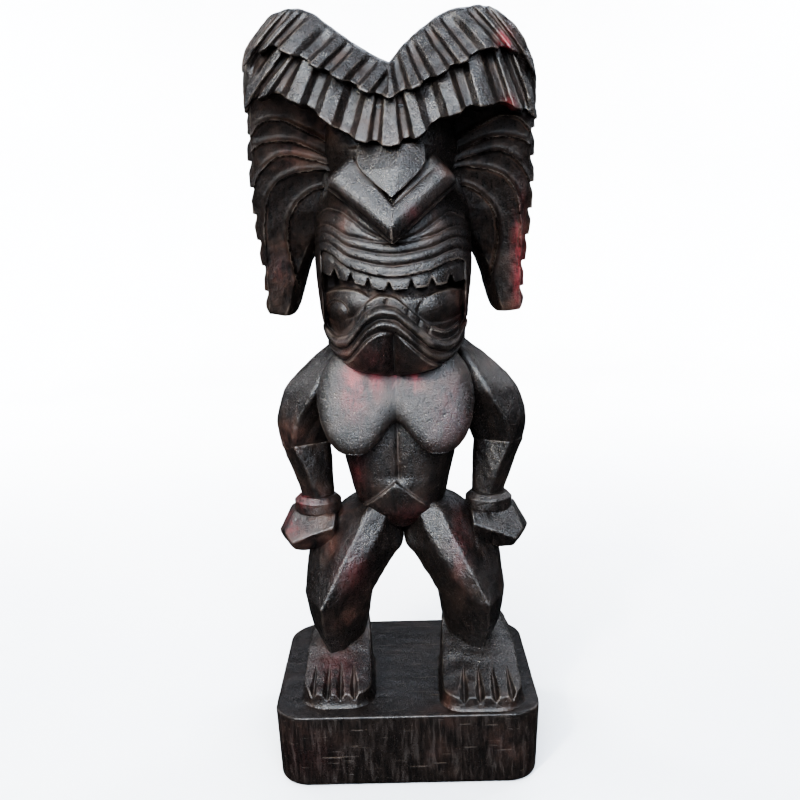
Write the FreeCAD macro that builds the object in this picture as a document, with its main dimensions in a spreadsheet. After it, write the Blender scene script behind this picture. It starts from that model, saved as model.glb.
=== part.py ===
"""Carved wooden tiki figure, built up from glued and dowelled blocks.

A standing guardian figure on a rectangular plinth: bent legs on block feet, a tapering belly, a chest slab,
arms held beside the body with a band at each wrist, a barrel head with a wide snarling mouth, hanging hair
wings beside the face and a V-shaped crest of two pleated tiers.

Frame: +Z up, -Y towards the figure's front, +X to the figure's own left, origin at the middle of the
plinth's underside. All lengths are millimetres.
"""

import FreeCAD
import Part
import Sketcher

import os

from FreeCAD import Placement, Rotation, Vector

SHEET = "Dims"
SIDES = {"left": -1, "right": 1}  # as seen from the front: "left" is the -X side

# Driving dimensions. Each name becomes an alias in the document's spreadsheet.
DIMENSIONS = {
    # the figure leans a little to one side, so its upper blocks stand off the plinth's middle
    "belly_axis": -3.0,
    "torso_axis": -5.0,
    "chest_axis": -7.0,
    "head_axis": -6.0,
    # plinth
    "plinth_width": 360.0,
    "plinth_depth": 305.0,
    "plinth_height": 105.0,
    "plinth_taper": 2.4,
    "plinth_front_radius": 40.0,
    "plinth_back_radius": 60.0,
    "plinth_foot_round": 9.0,
    "plinth_top_round": 3.0,
    # feet
    "foot_inner": 47.0,
    "foot_outer_left": 143.0,
    "foot_outer_right": 157.0,
    "foot_front_left": -126.0,
    "foot_front_right": -142.0,
    "foot_back": 48.0,
    "foot_toe_height": 19.0,
    "foot_toe_length": 40.0,
    "foot_toe_rise": 12.0,
    "foot_heel_height": 82.0,
    "foot_instep_length": 118.0,
    "foot_toe_round": 34.0,
    "foot_heel_round": 40.0,
    "toe_slot_width": 11.0,
    "toe_slot_pitch": 20.0,
    "toe_slot_length": 52.0,
    "toe_slot_depth": 12.0,
    # chest slab
    "chest_lobe_radius": 53.5,
    "chest_lobe_offset": 52.5,
    "chest_lobe_height": 500.0,
    "chest_top": 590.0,
    "chest_top_half_width": 74.0,
    "chest_flank_rise": 34.0,
    "chest_flank_inset": 6.0,
    "chest_front": -98.0,
    "chest_back": -58.0,
    # wrist bands
    "band_axis": 120.0,
    "band_axis_y": -14.0,
    "band_low": 350.0,
    "band_height": 24.0,
    "band_low_radius": 33.0,
    "band_top_radius": 31.0,
    # nose
    "nose_half_width": 72.0,
    "nose_top_half_width": 42.0,
    "nose_tip_half_width": 12.0,
    "nose_bridge_rise": 22.0,
    "nose_bridge_slope": 34.0,
    "nose_top": 832.0,
    "nose_wing_top": 818.0,
    "nose_wing_low": 790.0,
    "nose_tip": 738.0,
    "nose_front": -162.0,
    "nose_back": -100.0,
    # jaw
    "bite_corner_height": 662.0,
    "bite_middle_height": 671.0,
    "jaw_back": -45.0,
    "jaw_reach": 120.0,
    "jaw_half_width": 130.0,
    # mouth
    "mouth_half_width": 86.0,
    "mouth_corner_top": 688.0,
    "mouth_corner_low": 608.0,
    "mouth_dip": 56.0,
    "mouth_lip_middle": 658.0,
    "mouth_floor": -108.0,
    "mouth_reach": 60.0,
    "mouth_lip_rise": 4.0,
    "mouth_roof_rise": 3.0,
    # hair wings
    "wing_outer": 186.0,
    "wing_inner_top": 62.0,
    "wing_inner": 108.0,
    "wing_tip_inner": 134.0,
    "wing_tip_outer": 172.0,
    "wing_tip_height": 628.0,
    "wing_split_height": 712.0,
    "wing_shoulder": 800.0,
    "wing_top": 930.0,
    "wing_front": -78.0,
    "wing_back": 72.0,
    # crest
    "crest_half_width": 188.0,
    "crest_lobe": 108.0,
    "crest_lobe_inner": 78.0,
    "crest_lobe_outer": 134.0,
    "crest_break": 142.0,
    "crest_corner": 166.0,
    "crest_low_half_width": 182.0,
    "crest_lobe_drop": 4.0,
    "crest_corner_drop": 26.0,
    "crest_side_rise": 26.0,
    "crest_low_drop": 16.0,
    "crest_top": 1010.0,
    "crest_notch": 943.0,
    "crest_side": 934.0,
    "tier_break_middle": 896.0,
    "tier_break_lobe": 955.0,
    "tier_break_side": 932.0,
    "crest_low_middle": 840.0,
    "crest_low_lobe": 896.0,
    "crest_low_side": 884.0,
    "crest_back": 88.0,
    "crest_plan_width": 200.0,
    "crest_plan_low": 500.0,
    "crest_plan_height": 600.0,
    "upper_tier_plan_depth": 134.0,
    "lower_tier_plan_depth": 140.0,
    # dowels
    "dowel_radius": 8.0,
    "small_dowel_radius": 5.0,
    "ankle_x": 97.0,
    "ankle_y": -5.0,
    "ankle_low": 50.0,
    "ankle_length": 150.0,
    "hip_x": 20.0,
    "hip_z": 352.0,
    "hip_length": 50.0,
    "waist_low": 400.0,
    "waist_length": 110.0,
    "neck_low": 520.0,
    "neck_length": 130.0,
    "shoulder_z": 525.0,
    "shoulder_in": 62.0,
    "shoulder_length": 74.0,
    "elbow_x": 138.0,
    "elbow_low": 418.0,
    "elbow_length": 56.0,
    "wing_dowel_z": 800.0,
    "wing_dowel_in": 70.0,
    "wing_dowel_length": 70.0,
    "crest_dowel_x": 60.0,
    "crest_dowel_y": -40.0,
    "crest_dowel_low": 800.0,
    "crest_dowel_length": 150.0,
    "nose_dowel_z": 790.0,
    "nose_dowel_front": -135.0,
    "nose_dowel_length": 70.0,
    "jaw_dowel_x": 45.0,
    "jaw_dowel_y": -90.0,
    "jaw_dowel_low": 600.0,
    "jaw_dowel_length": 100.0,
}

# Cross-sections of the limbs, from top to bottom. inner, outer and crease are distances from the middle
# plane; front and back are along Y. The crease is the sharp edge that the carver left down the front.
LIMBS = {
    "leg": {
        "top": dict(height=372, inner=6, outer=78, crease=46, front=-50, back=48),
        "hip": dict(height=336, inner=3, outer=113, crease=60, front=-72, back=56),
        "thigh": dict(height=290, inner=12, outer=136, crease=86, front=-92, back=48),
        "knee": dict(height=238, inner=46, outer=143, crease=113, front=-104, back=34),
        "calf": dict(height=205, inner=50, outer=139, crease=113, front=-92, back=44),
        "shin": dict(height=170, inner=58, outer=130, crease=107, front=-72, back=42),
        "ankle": dict(height=126, inner=70, outer=118, crease=103, front=-44, back=30),
    },
    "upper_arm": {
        "neck": dict(height=588, inner=58, outer=96, crease=80, front=-22, back=28),
        "shoulder": dict(height=560, inner=60, outer=128, crease=100, front=-44, back=44),
        "deltoid": dict(height=520, inner=66, outer=162, crease=122, front=-58, back=50),
        "biceps": dict(height=478, inner=88, outer=176, crease=138, front=-54, back=46),
        "elbow": dict(height=446, inner=103, outer=171, crease=146, front=-44, back=40),
    },
    "forearm": {
        "elbow": dict(height=446, inner=103, outer=171, crease=146, front=-44, back=40),
        "middle": dict(height=410, inner=98, outer=156, crease=132, front=-40, back=26),
        "wrist": dict(height=350, inner=95, outer=137, crease=120, front=-32, back=8),
    },
    "hand": {
        "wrist": dict(height=350, inner=94, outer=141, crease=122, front=-38, back=14),
        "knuckle": dict(height=327, inner=92, outer=172, crease=140, front=-64, back=22),
        "fist": dict(height=302, inner=100, outer=150, crease=132, front=-56, back=14),
    },
}

# The six corners of a limb's section behind its crease: shares of its width out from the inner face, and of its
# depth back from the front.
LIMB_CORNERS = [(1.0, 0.42), (0.84, 0.86), (0.5, 1.0), (0.16, 0.86), (0.0, 0.48), (0.2, 0.14)]

TRUNK_SIDES = 12

# Cross-sections of the trunk and head: half_width and depth of an ellipse about the point (axis, middle).
TRUNK = {
    "belly": {
        "groin": dict(height=337, half_width=20, half_depth=44, middle=-6),
        "pelvis": dict(height=360, half_width=56, half_depth=60, middle=-6),
        "waist": dict(height=392, half_width=68, half_depth=66, middle=-4),
        "navel": dict(height=455, half_width=85, half_depth=72, middle=-2),
    },
    "torso": {
        "ribs": dict(height=455, half_width=85, half_depth=72, middle=-2),
        "breast": dict(height=520, half_width=92, half_depth=74, middle=0),
        "collar": dict(height=575, half_width=84, half_depth=64, middle=2),
    },
    "head": {
        "chin": dict(height=552, half_width=50, half_depth=50, middle=-52),
        "jaw": dict(height=586, half_width=90, half_depth=84, middle=-36),
        "mouth": dict(height=640, half_width=101, half_depth=101, middle=-30),
        "muzzle": dict(height=700, half_width=104, half_depth=99, middle=-29),
        "cheek": dict(height=760, half_width=102, half_depth=94, middle=-25),
        "brow": dict(height=820, half_width=94, half_depth=87, middle=-22),
        "crown": dict(height=892, half_width=80, half_depth=80, middle=-18),
    },
}


def dim(name):
    """The expression that reads one driving dimension from the spreadsheet."""
    return f"{SHEET}.{name}"


def add_sheet(doc):
    """The spreadsheet of driving dimensions, one alias to a row."""
    sheet = doc.addObject("Spreadsheet::Sheet", SHEET)
    values = dict(DIMENSIONS)
    for table in (LIMBS, TRUNK):
        for block, stations in table.items():
            for station, sizes in stations.items():
                for key, value in sizes.items():
                    values[f"{block}_{station}_{key}"] = value
    for row, (name, value) in enumerate(values.items(), start=1):
        sheet.set(f"A{row}", name.replace("_", " "))
        sheet.set(f"B{row}", str(value))
        sheet.setAlias(f"B{row}", name)
    doc.recompute()
    return sheet


def bind(obj, **expressions):
    """Binds properties to expressions; a double underscore in a keyword stands for a dot."""
    for name, expression in expressions.items():
        obj.setExpression(name.replace("__", "."), expression)
    return obj


def origin_plane(body, role):
    """The body's own origin plane of that role, such as XY_Plane."""
    return next(f for f in body.Origin.OriginFeatures if f.Role == role)


def outline(body, name, role, points, offset="0"):
    """A closed sketch through points, each an (x, y) pair of expressions in the sketch's own plane."""
    sketch = body.newObject("Sketcher::SketchObject", name)
    sketch.AttachmentSupport = (origin_plane(body, role), "")
    sketch.MapMode = "FlatFace"
    bind(sketch, AttachmentOffset__Base__z=offset)
    rough = [Vector(evaluate(body, x), evaluate(body, y), 0) for x, y in points]
    count = len(points)
    for i in range(count):
        sketch.addGeometry(Part.LineSegment(rough[i], rough[(i + 1) % count]))
    for i in range(count):
        sketch.addConstraint(Sketcher.Constraint("Coincident", i, 2, (i + 1) % count, 1))
    for i, (x, y) in enumerate(points):
        for kind, value, expression in (("DistanceX", rough[i].x, x), ("DistanceY", rough[i].y, y)):
            index = sketch.addConstraint(Sketcher.Constraint(kind, -1, 1, i, 1, value))
            sketch.renameConstraint(index, f"{kind[-1].lower()}{i}")
            sketch.setExpression(f"Constraints.{kind[-1].lower()}{i}", expression)
    return sketch


def evaluate(body, expression):
    """The number that an expression has now, for a sketch's first rough shape."""
    value = body.evalExpression(expression)
    return float(getattr(value, "Value", value))


def pad(body, sketch, length, **more):
    """Pads a sketch by a length expression."""
    feature = body.newObject("PartDesign::Pad", "Pad")
    feature.Profile = sketch
    for name, value in more.items():
        setattr(feature, name, value)
    return bind(feature, Length=length)


def round_edges(body, base, wanted, radius):
    """Fillets the edges of the base feature that wanted(edge) picks."""
    body.Document.recompute()
    names = [f"Edge{i}" for i, e in enumerate(base.Shape.Edges, start=1) if wanted(e)]
    feature = body.newObject("PartDesign::Fillet", "Fillet")
    feature.Base = (base, names)
    return bind(feature, Radius=radius)


def is_tall(edge):
    """True for an edge that runs up the plinth's side, leaning or not."""
    return edge.BoundBox.ZLength > DIMENSIONS["plinth_height"] / 2


def is_upright(edge):
    """True for a straight edge along Z."""
    ends = [v.Point for v in edge.Vertexes]
    return len(ends) == 2 and abs(ends[0].x - ends[1].x) < 1e-6 and abs(ends[0].y - ends[1].y) < 1e-6


def cut(doc, label, base, tools):
    """The block called label: base with each of the tools cut from it."""
    tool = tools[0]
    if len(tools) > 1:
        tool = doc.addObject("Part::MultiFuse", f"{label}_tools")
        tool.Shapes = tools
    feature = doc.addObject("Part::Cut", label)
    feature.Base = base
    feature.Tool = tool
    feature.Label = label
    return feature


def cylinder(doc, name, radius, height, x="0", y="0", z="0", axis=Vector(0, 0, 1)):
    """A cylinder of that radius and height along axis, starting at (x, y, z)."""
    body = doc.addObject("Part::Cylinder", name)
    body.Placement = Placement(Vector(0, 0, 0), Rotation(Vector(0, 0, 1), axis))
    return bind(body, Radius=radius, Height=height, Placement__Base__x=x, Placement__Base__y=y,
                Placement__Base__z=z)


def group(doc, label, members):
    """Several separate solids as one node."""
    feature = doc.addObject("Part::Compound", label)
    feature.Links = members
    feature.Label = label
    return feature


# ---------------------------------------------------------------- plinth and feet


def make_plinth(doc):
    """The rectangular plinth: round upright corners, and sides that draw in a little towards the ground."""
    body = doc.addObject("PartDesign::Body", "plinth_block")
    half_w, half_d = f"{dim('plinth_width')} / 2", f"{dim('plinth_depth')} / 2"
    corners = [(f"-{half_w}", f"-{half_d}"), (half_w, f"-{half_d}"), (half_w, half_d), (f"-{half_w}", half_d)]
    top = outline(body, "PlinthTop", "XY_Plane", corners, dim("plinth_height"))
    block = pad(body, top, dim("plinth_height"), Reversed=True)
    bind(block, TaperAngle=f"-{dim('plinth_taper')}")
    front = round_edges(body, block, lambda e: is_tall(e) and e.CenterOfMass.y < 0, dim("plinth_front_radius"))
    behind = DIMENSIONS["plinth_depth"] / 2 - DIMENSIONS["plinth_top_round"] - DIMENSIONS["plinth_foot_round"]
    back = round_edges(body, front, lambda e: is_tall(e) and e.CenterOfMass.y > behind,
                       dim("plinth_back_radius"))
    low = round_edges(body, back, lambda e: e.BoundBox.ZMax < 1e-6, dim("plinth_foot_round"))
    high = DIMENSIONS["plinth_height"]
    body.Tip = round_edges(body, low, lambda e: e.BoundBox.ZMin > high - 1e-6, dim("plinth_top_round"))
    return body


def make_foot(doc, side):
    """A block foot: a wedge that is low at the toes and high at the heel, with four slots between the toes."""
    sign = SIDES[side]
    body = doc.addObject("PartDesign::Body", f"foot_{side}_block")
    front = dim(f"foot_front_{side}")
    inner, outer = f"{sign} * {dim('foot_inner')}", f"{sign} * {dim(f'foot_outer_{side}')}"
    sole = [(inner, front), (outer, front), (outer, dim("foot_back")), (inner, dim("foot_back"))]
    block = pad(body, outline(body, "Sole", "XY_Plane", sole, dim("plinth_height")), dim("foot_heel_height"))
    middle = (DIMENSIONS["foot_front_left"] + DIMENSIONS["foot_back"]) / 2
    toes = round_edges(body, block, lambda e: is_upright(e) and e.CenterOfMass.y < middle,
                       dim("foot_toe_round"))
    heel = round_edges(body, toes, lambda e: is_upright(e) and e.CenterOfMass.y > DIMENSIONS["foot_back"] - 1,
                       dim("foot_heel_round"))
    floor = dim("plinth_height")
    toe_top = f"{floor} + {dim('foot_toe_height')}"
    heel_top = f"{floor} + {dim('foot_heel_height')}"
    knuckle, ankle = f"{front} + {dim('foot_toe_length')}", f"{front} + {dim('foot_instep_length')}"
    instep = [(f"{front} - 1", toe_top), (knuckle, f"{toe_top} + {dim('foot_toe_rise')}"), (ankle, heel_top),
              (ankle, f"{heel_top} + 1"), (f"{front} - 1", f"{heel_top} + 1")]
    slope = body.newObject("PartDesign::Pocket", "Slope")
    slope.Profile = outline(body, "Instep", "YZ_Plane", instep)
    slope.Type = "ThroughAll"
    slope.Midplane = True
    doc.recompute()
    body.Tip = toe_slots(body, side, front, heel_top)
    return body


def toe_slots(body, side, front, heel_top):
    """Four wedge-shaped slots that part the toes."""
    sign = SIDES[side]
    half, pitch = f"{dim('toe_slot_width')} / 2", dim("toe_slot_pitch")
    first = f"{sign} * ({dim('foot_inner')} + {dim(f'foot_outer_{side}')}) / 2 - 1.5 * {pitch}"
    wedge = [(f"{first} - {half}", f"{front} - 2"), (f"{first} + {half}", f"{front} - 2"),
             (first, f"{front} + {dim('toe_slot_length')}")]
    slot = body.newObject("PartDesign::Pocket", "ToeSlot")
    slot.Profile = outline(body, "ToeWedge", "XY_Plane", wedge, heel_top)
    bind(slot, Length=f"{dim('foot_heel_height')} - {dim('foot_toe_height')} + {dim('toe_slot_depth')}")
    body.Document.recompute()
    row = body.newObject("PartDesign::LinearPattern", "ToeSlots")
    row.Originals = [slot]
    row.Direction = (slot.Profile[0], ["H_Axis"])
    row.Occurrences = 4
    return bind(row, Length=f"3 * {pitch}")


# ---------------------------------------------------------------- limbs


def limb_section(body, limb, station, sign):
    """A seven-sided section of a limb: a sharp crease in front and blunt facets round the back."""
    low, high = dim(f"{limb}_{station}_inner"), dim(f"{limb}_{station}_outer")
    front, back = dim(f"{limb}_{station}_front"), dim(f"{limb}_{station}_back")
    wide, deep = f"({high} - {low})", f"({back} - {front})"
    corners = [(dim(f"{limb}_{station}_crease"), front)]
    for across, behind in LIMB_CORNERS:
        corners.append((f"{low} + {across} * {wide}", f"{front} + {behind} * {deep}"))
    points = [(f"{sign} * ({x})", y) for x, y in corners]
    return outline(body, f"{limb}_{station}", "XY_Plane", points, dim(f"{limb}_{station}_height"))


def make_limb(doc, limb, side):
    """A limb block lofted through its sections, with flat facets between them."""
    body = doc.addObject("PartDesign::Body", f"{limb}_{side}_block")
    sections = [limb_section(body, limb, station, SIDES[side]) for station in LIMBS[limb]]
    loft = body.newObject("PartDesign::AdditiveLoft", "Loft")
    loft.Profile = sections[0]
    loft.Sections = sections[1:]
    loft.Ruled = True
    body.Tip = loft
    return body


def make_band(doc, side):
    """A wrist band: a slightly tapered collar."""
    band = doc.addObject("Part::Cone", f"wristband_{side}_block")
    return bind(band, Radius1=dim("band_low_radius"), Radius2=dim("band_top_radius"),
                Height=dim("band_height"), Placement__Base__x=f"{SIDES[side]} * {dim('band_axis')}",
                Placement__Base__y=dim("band_axis_y"), Placement__Base__z=dim("band_low"))


# ---------------------------------------------------------------- trunk and head


def make_trunk(doc, block):
    """A round block lofted through many-sided sections, with flat facets between them."""
    body = doc.addObject("PartDesign::Body", f"{block}_core")
    axis = dim(f"{block}_axis")
    sections = []
    for station in TRUNK[block]:
        name = f"{block}_{station}"
        wide, deep, middle = (dim(f"{name}_{key}") for key in ("half_width", "half_depth", "middle"))
        points = []
        for corner in range(TRUNK_SIDES):
            angle = f"{(corner + 0.5) * 360 / TRUNK_SIDES} deg"
            points.append((f"{axis} + {wide} * cos({angle})", f"{middle} + {deep} * sin({angle})"))
        sections.append(outline(body, name, "XY_Plane", points, dim(f"{name}_height")))
    loft = body.newObject("PartDesign::AdditiveLoft", "Loft")
    loft.Profile = sections[0]
    loft.Sections = sections[1:]
    loft.Ruled = True
    body.Tip = loft
    return body


def make_chest(doc):
    """The chest slab: two round lobes under a collar that narrows towards the neck."""
    lobes = []
    thick = f"{dim('chest_back')} - {dim('chest_front')}"
    for side, sign in SIDES.items():
        middle = f"{dim('chest_axis')} + {sign} * {dim('chest_lobe_offset')}"
        lobes.append(cylinder(doc, f"chest_lobe_{side}", dim("chest_lobe_radius"), thick, x=middle,
                              y=dim("chest_back"), z=dim("chest_lobe_height"), axis=Vector(0, -1, 0)))
    body = doc.addObject("PartDesign::Body", "chest_collar")
    axis, low = dim("chest_axis"), dim("chest_lobe_height")
    wide, narrow = f"({dim('chest_lobe_offset')} + {dim('chest_lobe_radius')})", dim("chest_top_half_width")
    flank, flank_height = f"({wide} - {dim('chest_flank_inset')})", f"{low} + {dim('chest_flank_rise')}"
    corners = [(f"{axis} - {wide}", low), (f"{axis} + {wide}", low),
               (f"{axis} + {flank}", flank_height), (f"{axis} + {narrow}", dim("chest_top")),
               (f"{axis} - {narrow}", dim("chest_top")), (f"{axis} - {flank}", flank_height)]
    body.Tip = pad(body, outline(body, "Collar", "XZ_Plane", corners, f"-{dim('chest_back')}"), thick)
    slab = doc.addObject("Part::MultiFuse", "chest_slab")
    slab.Shapes = [*lobes, body]
    return slab


def make_nose(doc):
    """The nose: a wide arrowhead that rises to its tip, with the brow wedge above."""
    body = doc.addObject("PartDesign::Body", "nose_arrow")
    axis, wide = dim("head_axis"), dim("nose_half_width")
    tip, top = dim("nose_tip_half_width"), dim("nose_top_half_width")
    face = [(f"{axis} - {wide}", dim("nose_wing_top")), (f"{axis} - {wide}", dim("nose_wing_low")),
            (f"{axis} - {tip}", dim("nose_tip")), (f"{axis} + {tip}", dim("nose_tip")),
            (f"{axis} + {wide}", dim("nose_wing_low")), (f"{axis} + {wide}", dim("nose_wing_top")),
            (f"{axis} + {top}", dim("nose_top")), (f"{axis} - {top}", dim("nose_top"))]
    block = pad(body, outline(body, "NoseFace", "XZ_Plane", face, f"-{dim('nose_back')}"),
                f"{dim('nose_back')} - {dim('nose_front')}")
    bevel = body.newObject("PartDesign::Pocket", "Bridge")
    side_view = [(f"{dim('nose_front')} - 1", f"{dim('nose_tip')} + {dim('nose_bridge_rise')}"),
                 (f"{dim('nose_front')} + {dim('nose_bridge_slope')}", f"{dim('nose_top')} + 1"),
                 (f"{dim('nose_front')} - 1", f"{dim('nose_top')} + 1")]
    bevel.Profile = outline(body, "BridgeSlope", "YZ_Plane", side_view)
    bevel.Type = "ThroughAll"
    bevel.Midplane = True
    body.Tip = bevel
    return body


def make_jaw_region(doc):
    """The space below the bite line, which parts the jaw from the head."""
    body = doc.addObject("PartDesign::Body", "jaw_region")
    axis, wide = dim("head_axis"), dim("jaw_half_width")
    low = f"{dim('head_chin_height')} - 1"
    corner = dim("bite_corner_height")
    bite = [(f"{axis} - {wide}", low), (f"{axis} + {wide}", low), (f"{axis} + {wide}", corner),
            (axis, dim("bite_middle_height")), (f"{axis} - {wide}", corner)]
    line = outline(body, "BiteLine", "XZ_Plane", bite, f"-({dim('jaw_back')})")
    body.Tip = pad(body, line, dim("jaw_reach"))
    return body


def make_mouth(doc):
    """The open mouth: a shallow hollow that is tall at both corners and closes to a slot in the middle."""
    body = doc.addObject("PartDesign::Body", "mouth_hollow")
    axis, wide, dip = dim("head_axis"), dim("mouth_half_width"), dim("mouth_dip")
    top, low = dim("mouth_corner_top"), dim("mouth_corner_low")
    lip, roof = f"{low} + {dim('mouth_lip_rise')}", f"{dim('bite_middle_height')} + {dim('mouth_roof_rise')}"
    rim = [(f"{axis} - {wide}", top), (f"{axis} - {wide}", low), (f"{axis} - {dip}", lip),
           (axis, dim("mouth_lip_middle")), (f"{axis} + {dip}", lip), (f"{axis} + {wide}", low),
           (f"{axis} + {wide}", top), (axis, roof)]
    outer = outline(body, "MouthRim", "XZ_Plane", rim, f"-({dim('mouth_floor')})")
    body.Tip = pad(body, outer, dim("mouth_reach"))
    return body


def make_wing(doc, side):
    """A hair wing: a flat block beside the face that narrows to a blunt tip beside the jaw."""
    sign = SIDES[side]
    body = doc.addObject("PartDesign::Body", f"ear_wing_{side}_block")
    corners = [
        ("wing_inner_top", "wing_top"), ("wing_outer", "wing_top"), ("wing_outer", "wing_shoulder"),
        ("wing_tip_outer", "wing_tip_height"), ("wing_tip_inner", "wing_tip_height"),
        ("wing_inner", "wing_split_height"), ("wing_inner_top", "wing_shoulder"),
    ]
    points = [(f"{dim('head_axis')} + {sign} * {dim(x)}", dim(z)) for x, z in corners]
    slab = pad(body, outline(body, "WingFace", "XZ_Plane", points, f"-{dim('wing_back')}"),
               f"{dim('wing_back')} - {dim('wing_front')}")
    body.Tip = slab
    return within_plan(doc, body, dim("upper_tier_plan_depth"))


def within_plan(doc, body, depth):
    """The part of a block that is inside the oval that the crest and the wings have when seen from above."""
    oval = doc.addObject("Part::Ellipse", f"{body.Name}_plan")
    bind(oval, MajorRadius=dim("crest_plan_width"), MinorRadius=depth, Placement__Base__x=dim("head_axis"),
         Placement__Base__z=dim("crest_plan_low"))
    prism = doc.addObject("Part::Extrusion", f"{body.Name}_prism")
    prism.Base = oval
    prism.DirMode = "Custom"
    prism.Dir = Vector(0, 0, 1)
    prism.Solid = True
    bind(prism, LengthFwd=dim("crest_plan_height"))
    shaped = doc.addObject("Part::Common", f"{body.Name}_shaped")
    shaped.Base = body
    shaped.Tool = prism
    return shaped


def tier_points(tier, sign):
    """Half of a crest tier's outline, from the notch out to the side and back: the top, then the underside."""
    names = {
        "upper": ("crest_notch", "crest_top", "crest_side", "tier_break_side", "tier_break_lobe",
                  "tier_break_middle"),
        "lower": ("tier_break_middle", "tier_break_lobe", "tier_break_side", "crest_low_side",
                  "crest_low_lobe", "crest_low_middle"),
    }
    inner_top, lobe_top, side_top, side_low, lobe_low, inner_low = (dim(n) for n in names[tier])

    def at(distance):
        return f"{dim('head_axis')} + {sign} * {distance}"

    lobe, wide, turn = dim("crest_lobe"), dim("crest_half_width"), dim("crest_break")
    inner, outer = dim("crest_lobe_inner"), dim("crest_lobe_outer")
    if tier == "upper":
        shoulder = f"{lobe_top} - {dim('crest_lobe_drop')}"
        return [(at("0"), inner_top), (at(inner), shoulder), (at(lobe), lobe_top), (at(outer), shoulder),
                (at(dim("crest_corner")), f"{lobe_top} - {dim('crest_corner_drop')}"),
                (at(wide), f"{side_top} + {dim('crest_side_rise')}"), (at(wide), side_low),
                (at(turn), lobe_low), (at("0"), inner_low)]
    return [(at("0"), inner_top), (at(turn), lobe_top), (at(wide), side_top),
            (at(dim("crest_low_half_width")), side_low), (at(turn), lobe_low),
            (at(inner), f"{lobe_low} - {dim('crest_low_drop')}"), (at("0"), inner_low)]


def make_tier(doc, tier, side):
    """One half of a crest tier, as a slab that runs from front to back."""
    body = doc.addObject("PartDesign::Body", f"crest_{tier}_{side}_block")
    front, back = dim(f"{tier}_tier_plan_depth"), dim("crest_back")
    body.Tip = pad(body, outline(body, "TierFace", "XZ_Plane", tier_points(tier, SIDES[side]), f"-{back}"),
                   f"{back} + {front}")
    return within_plan(doc, body, front)


# ---------------------------------------------------------------- dowels


def make_dowels(doc):
    """Every dowel, as plain round rods: {node: [solid, ...]}."""
    thick, thin = dim("dowel_radius"), dim("small_dowel_radius")
    axis = dim("head_axis")
    both = SIDES.items()
    dowels = {
        "ankle_dowels": [cylinder(doc, f"ankle_dowel_{s}", thick, dim("ankle_length"),
                                  x=f"{n} * {dim('ankle_x')}", y=dim("ankle_y"), z=dim("ankle_low"))
                         for s, n in both],
        "hip_dowels": [cylinder(doc, f"hip_dowel_{s}", thick, dim("hip_length"), x=f"{n} * {dim('hip_x')}",
                                z=dim("hip_z"), axis=Vector(n, 0, 0)) for s, n in both],
        "waist_dowel": [cylinder(doc, "waist_rod", thick, dim("waist_length"), z=dim("waist_low"))],
        "neck_dowel": [cylinder(doc, "neck_rod", thick, dim("neck_length"), z=dim("neck_low"))],
        "shoulder_dowels": [cylinder(doc, f"shoulder_dowel_{s}", thick, dim("shoulder_length"),
                                     x=f"{n} * {dim('shoulder_in')}", z=dim("shoulder_z"),
                                     axis=Vector(n, 0, 0)) for s, n in both],
        "elbow_dowels": [cylinder(doc, f"elbow_dowel_{s}", thin, dim("elbow_length"),
                                  x=f"{n} * {dim('elbow_x')}", z=dim("elbow_low")) for s, n in both],
        "wing_dowels": [cylinder(doc, f"wing_dowel_{s}", thin, dim("wing_dowel_length"),
                                 x=f"{axis} + {n} * {dim('wing_dowel_in')}", z=dim("wing_dowel_z"),
                                 axis=Vector(n, 0, 0)) for s, n in both],
        "crest_dowels": [cylinder(doc, f"crest_dowel_{s}", thin, dim("crest_dowel_length"),
                                  x=f"{axis} + {n} * {dim('crest_dowel_x')}", y=dim("crest_dowel_y"),
                                  z=dim("crest_dowel_low")) for s, n in both],
        "nose_dowel": [cylinder(doc, "nose_rod", thin, dim("nose_dowel_length"), x=axis,
                                y=dim("nose_dowel_front"), z=dim("nose_dowel_z"), axis=Vector(0, 1, 0))],
        "jaw_dowels": [cylinder(doc, f"jaw_dowel_{s}", thin, dim("jaw_dowel_length"),
                                x=f"{axis} + {n} * {dim('jaw_dowel_x')}", y=dim("jaw_dowel_y"),
                                z=dim("jaw_dowel_low")) for s, n in both],
    }
    return dowels


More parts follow.
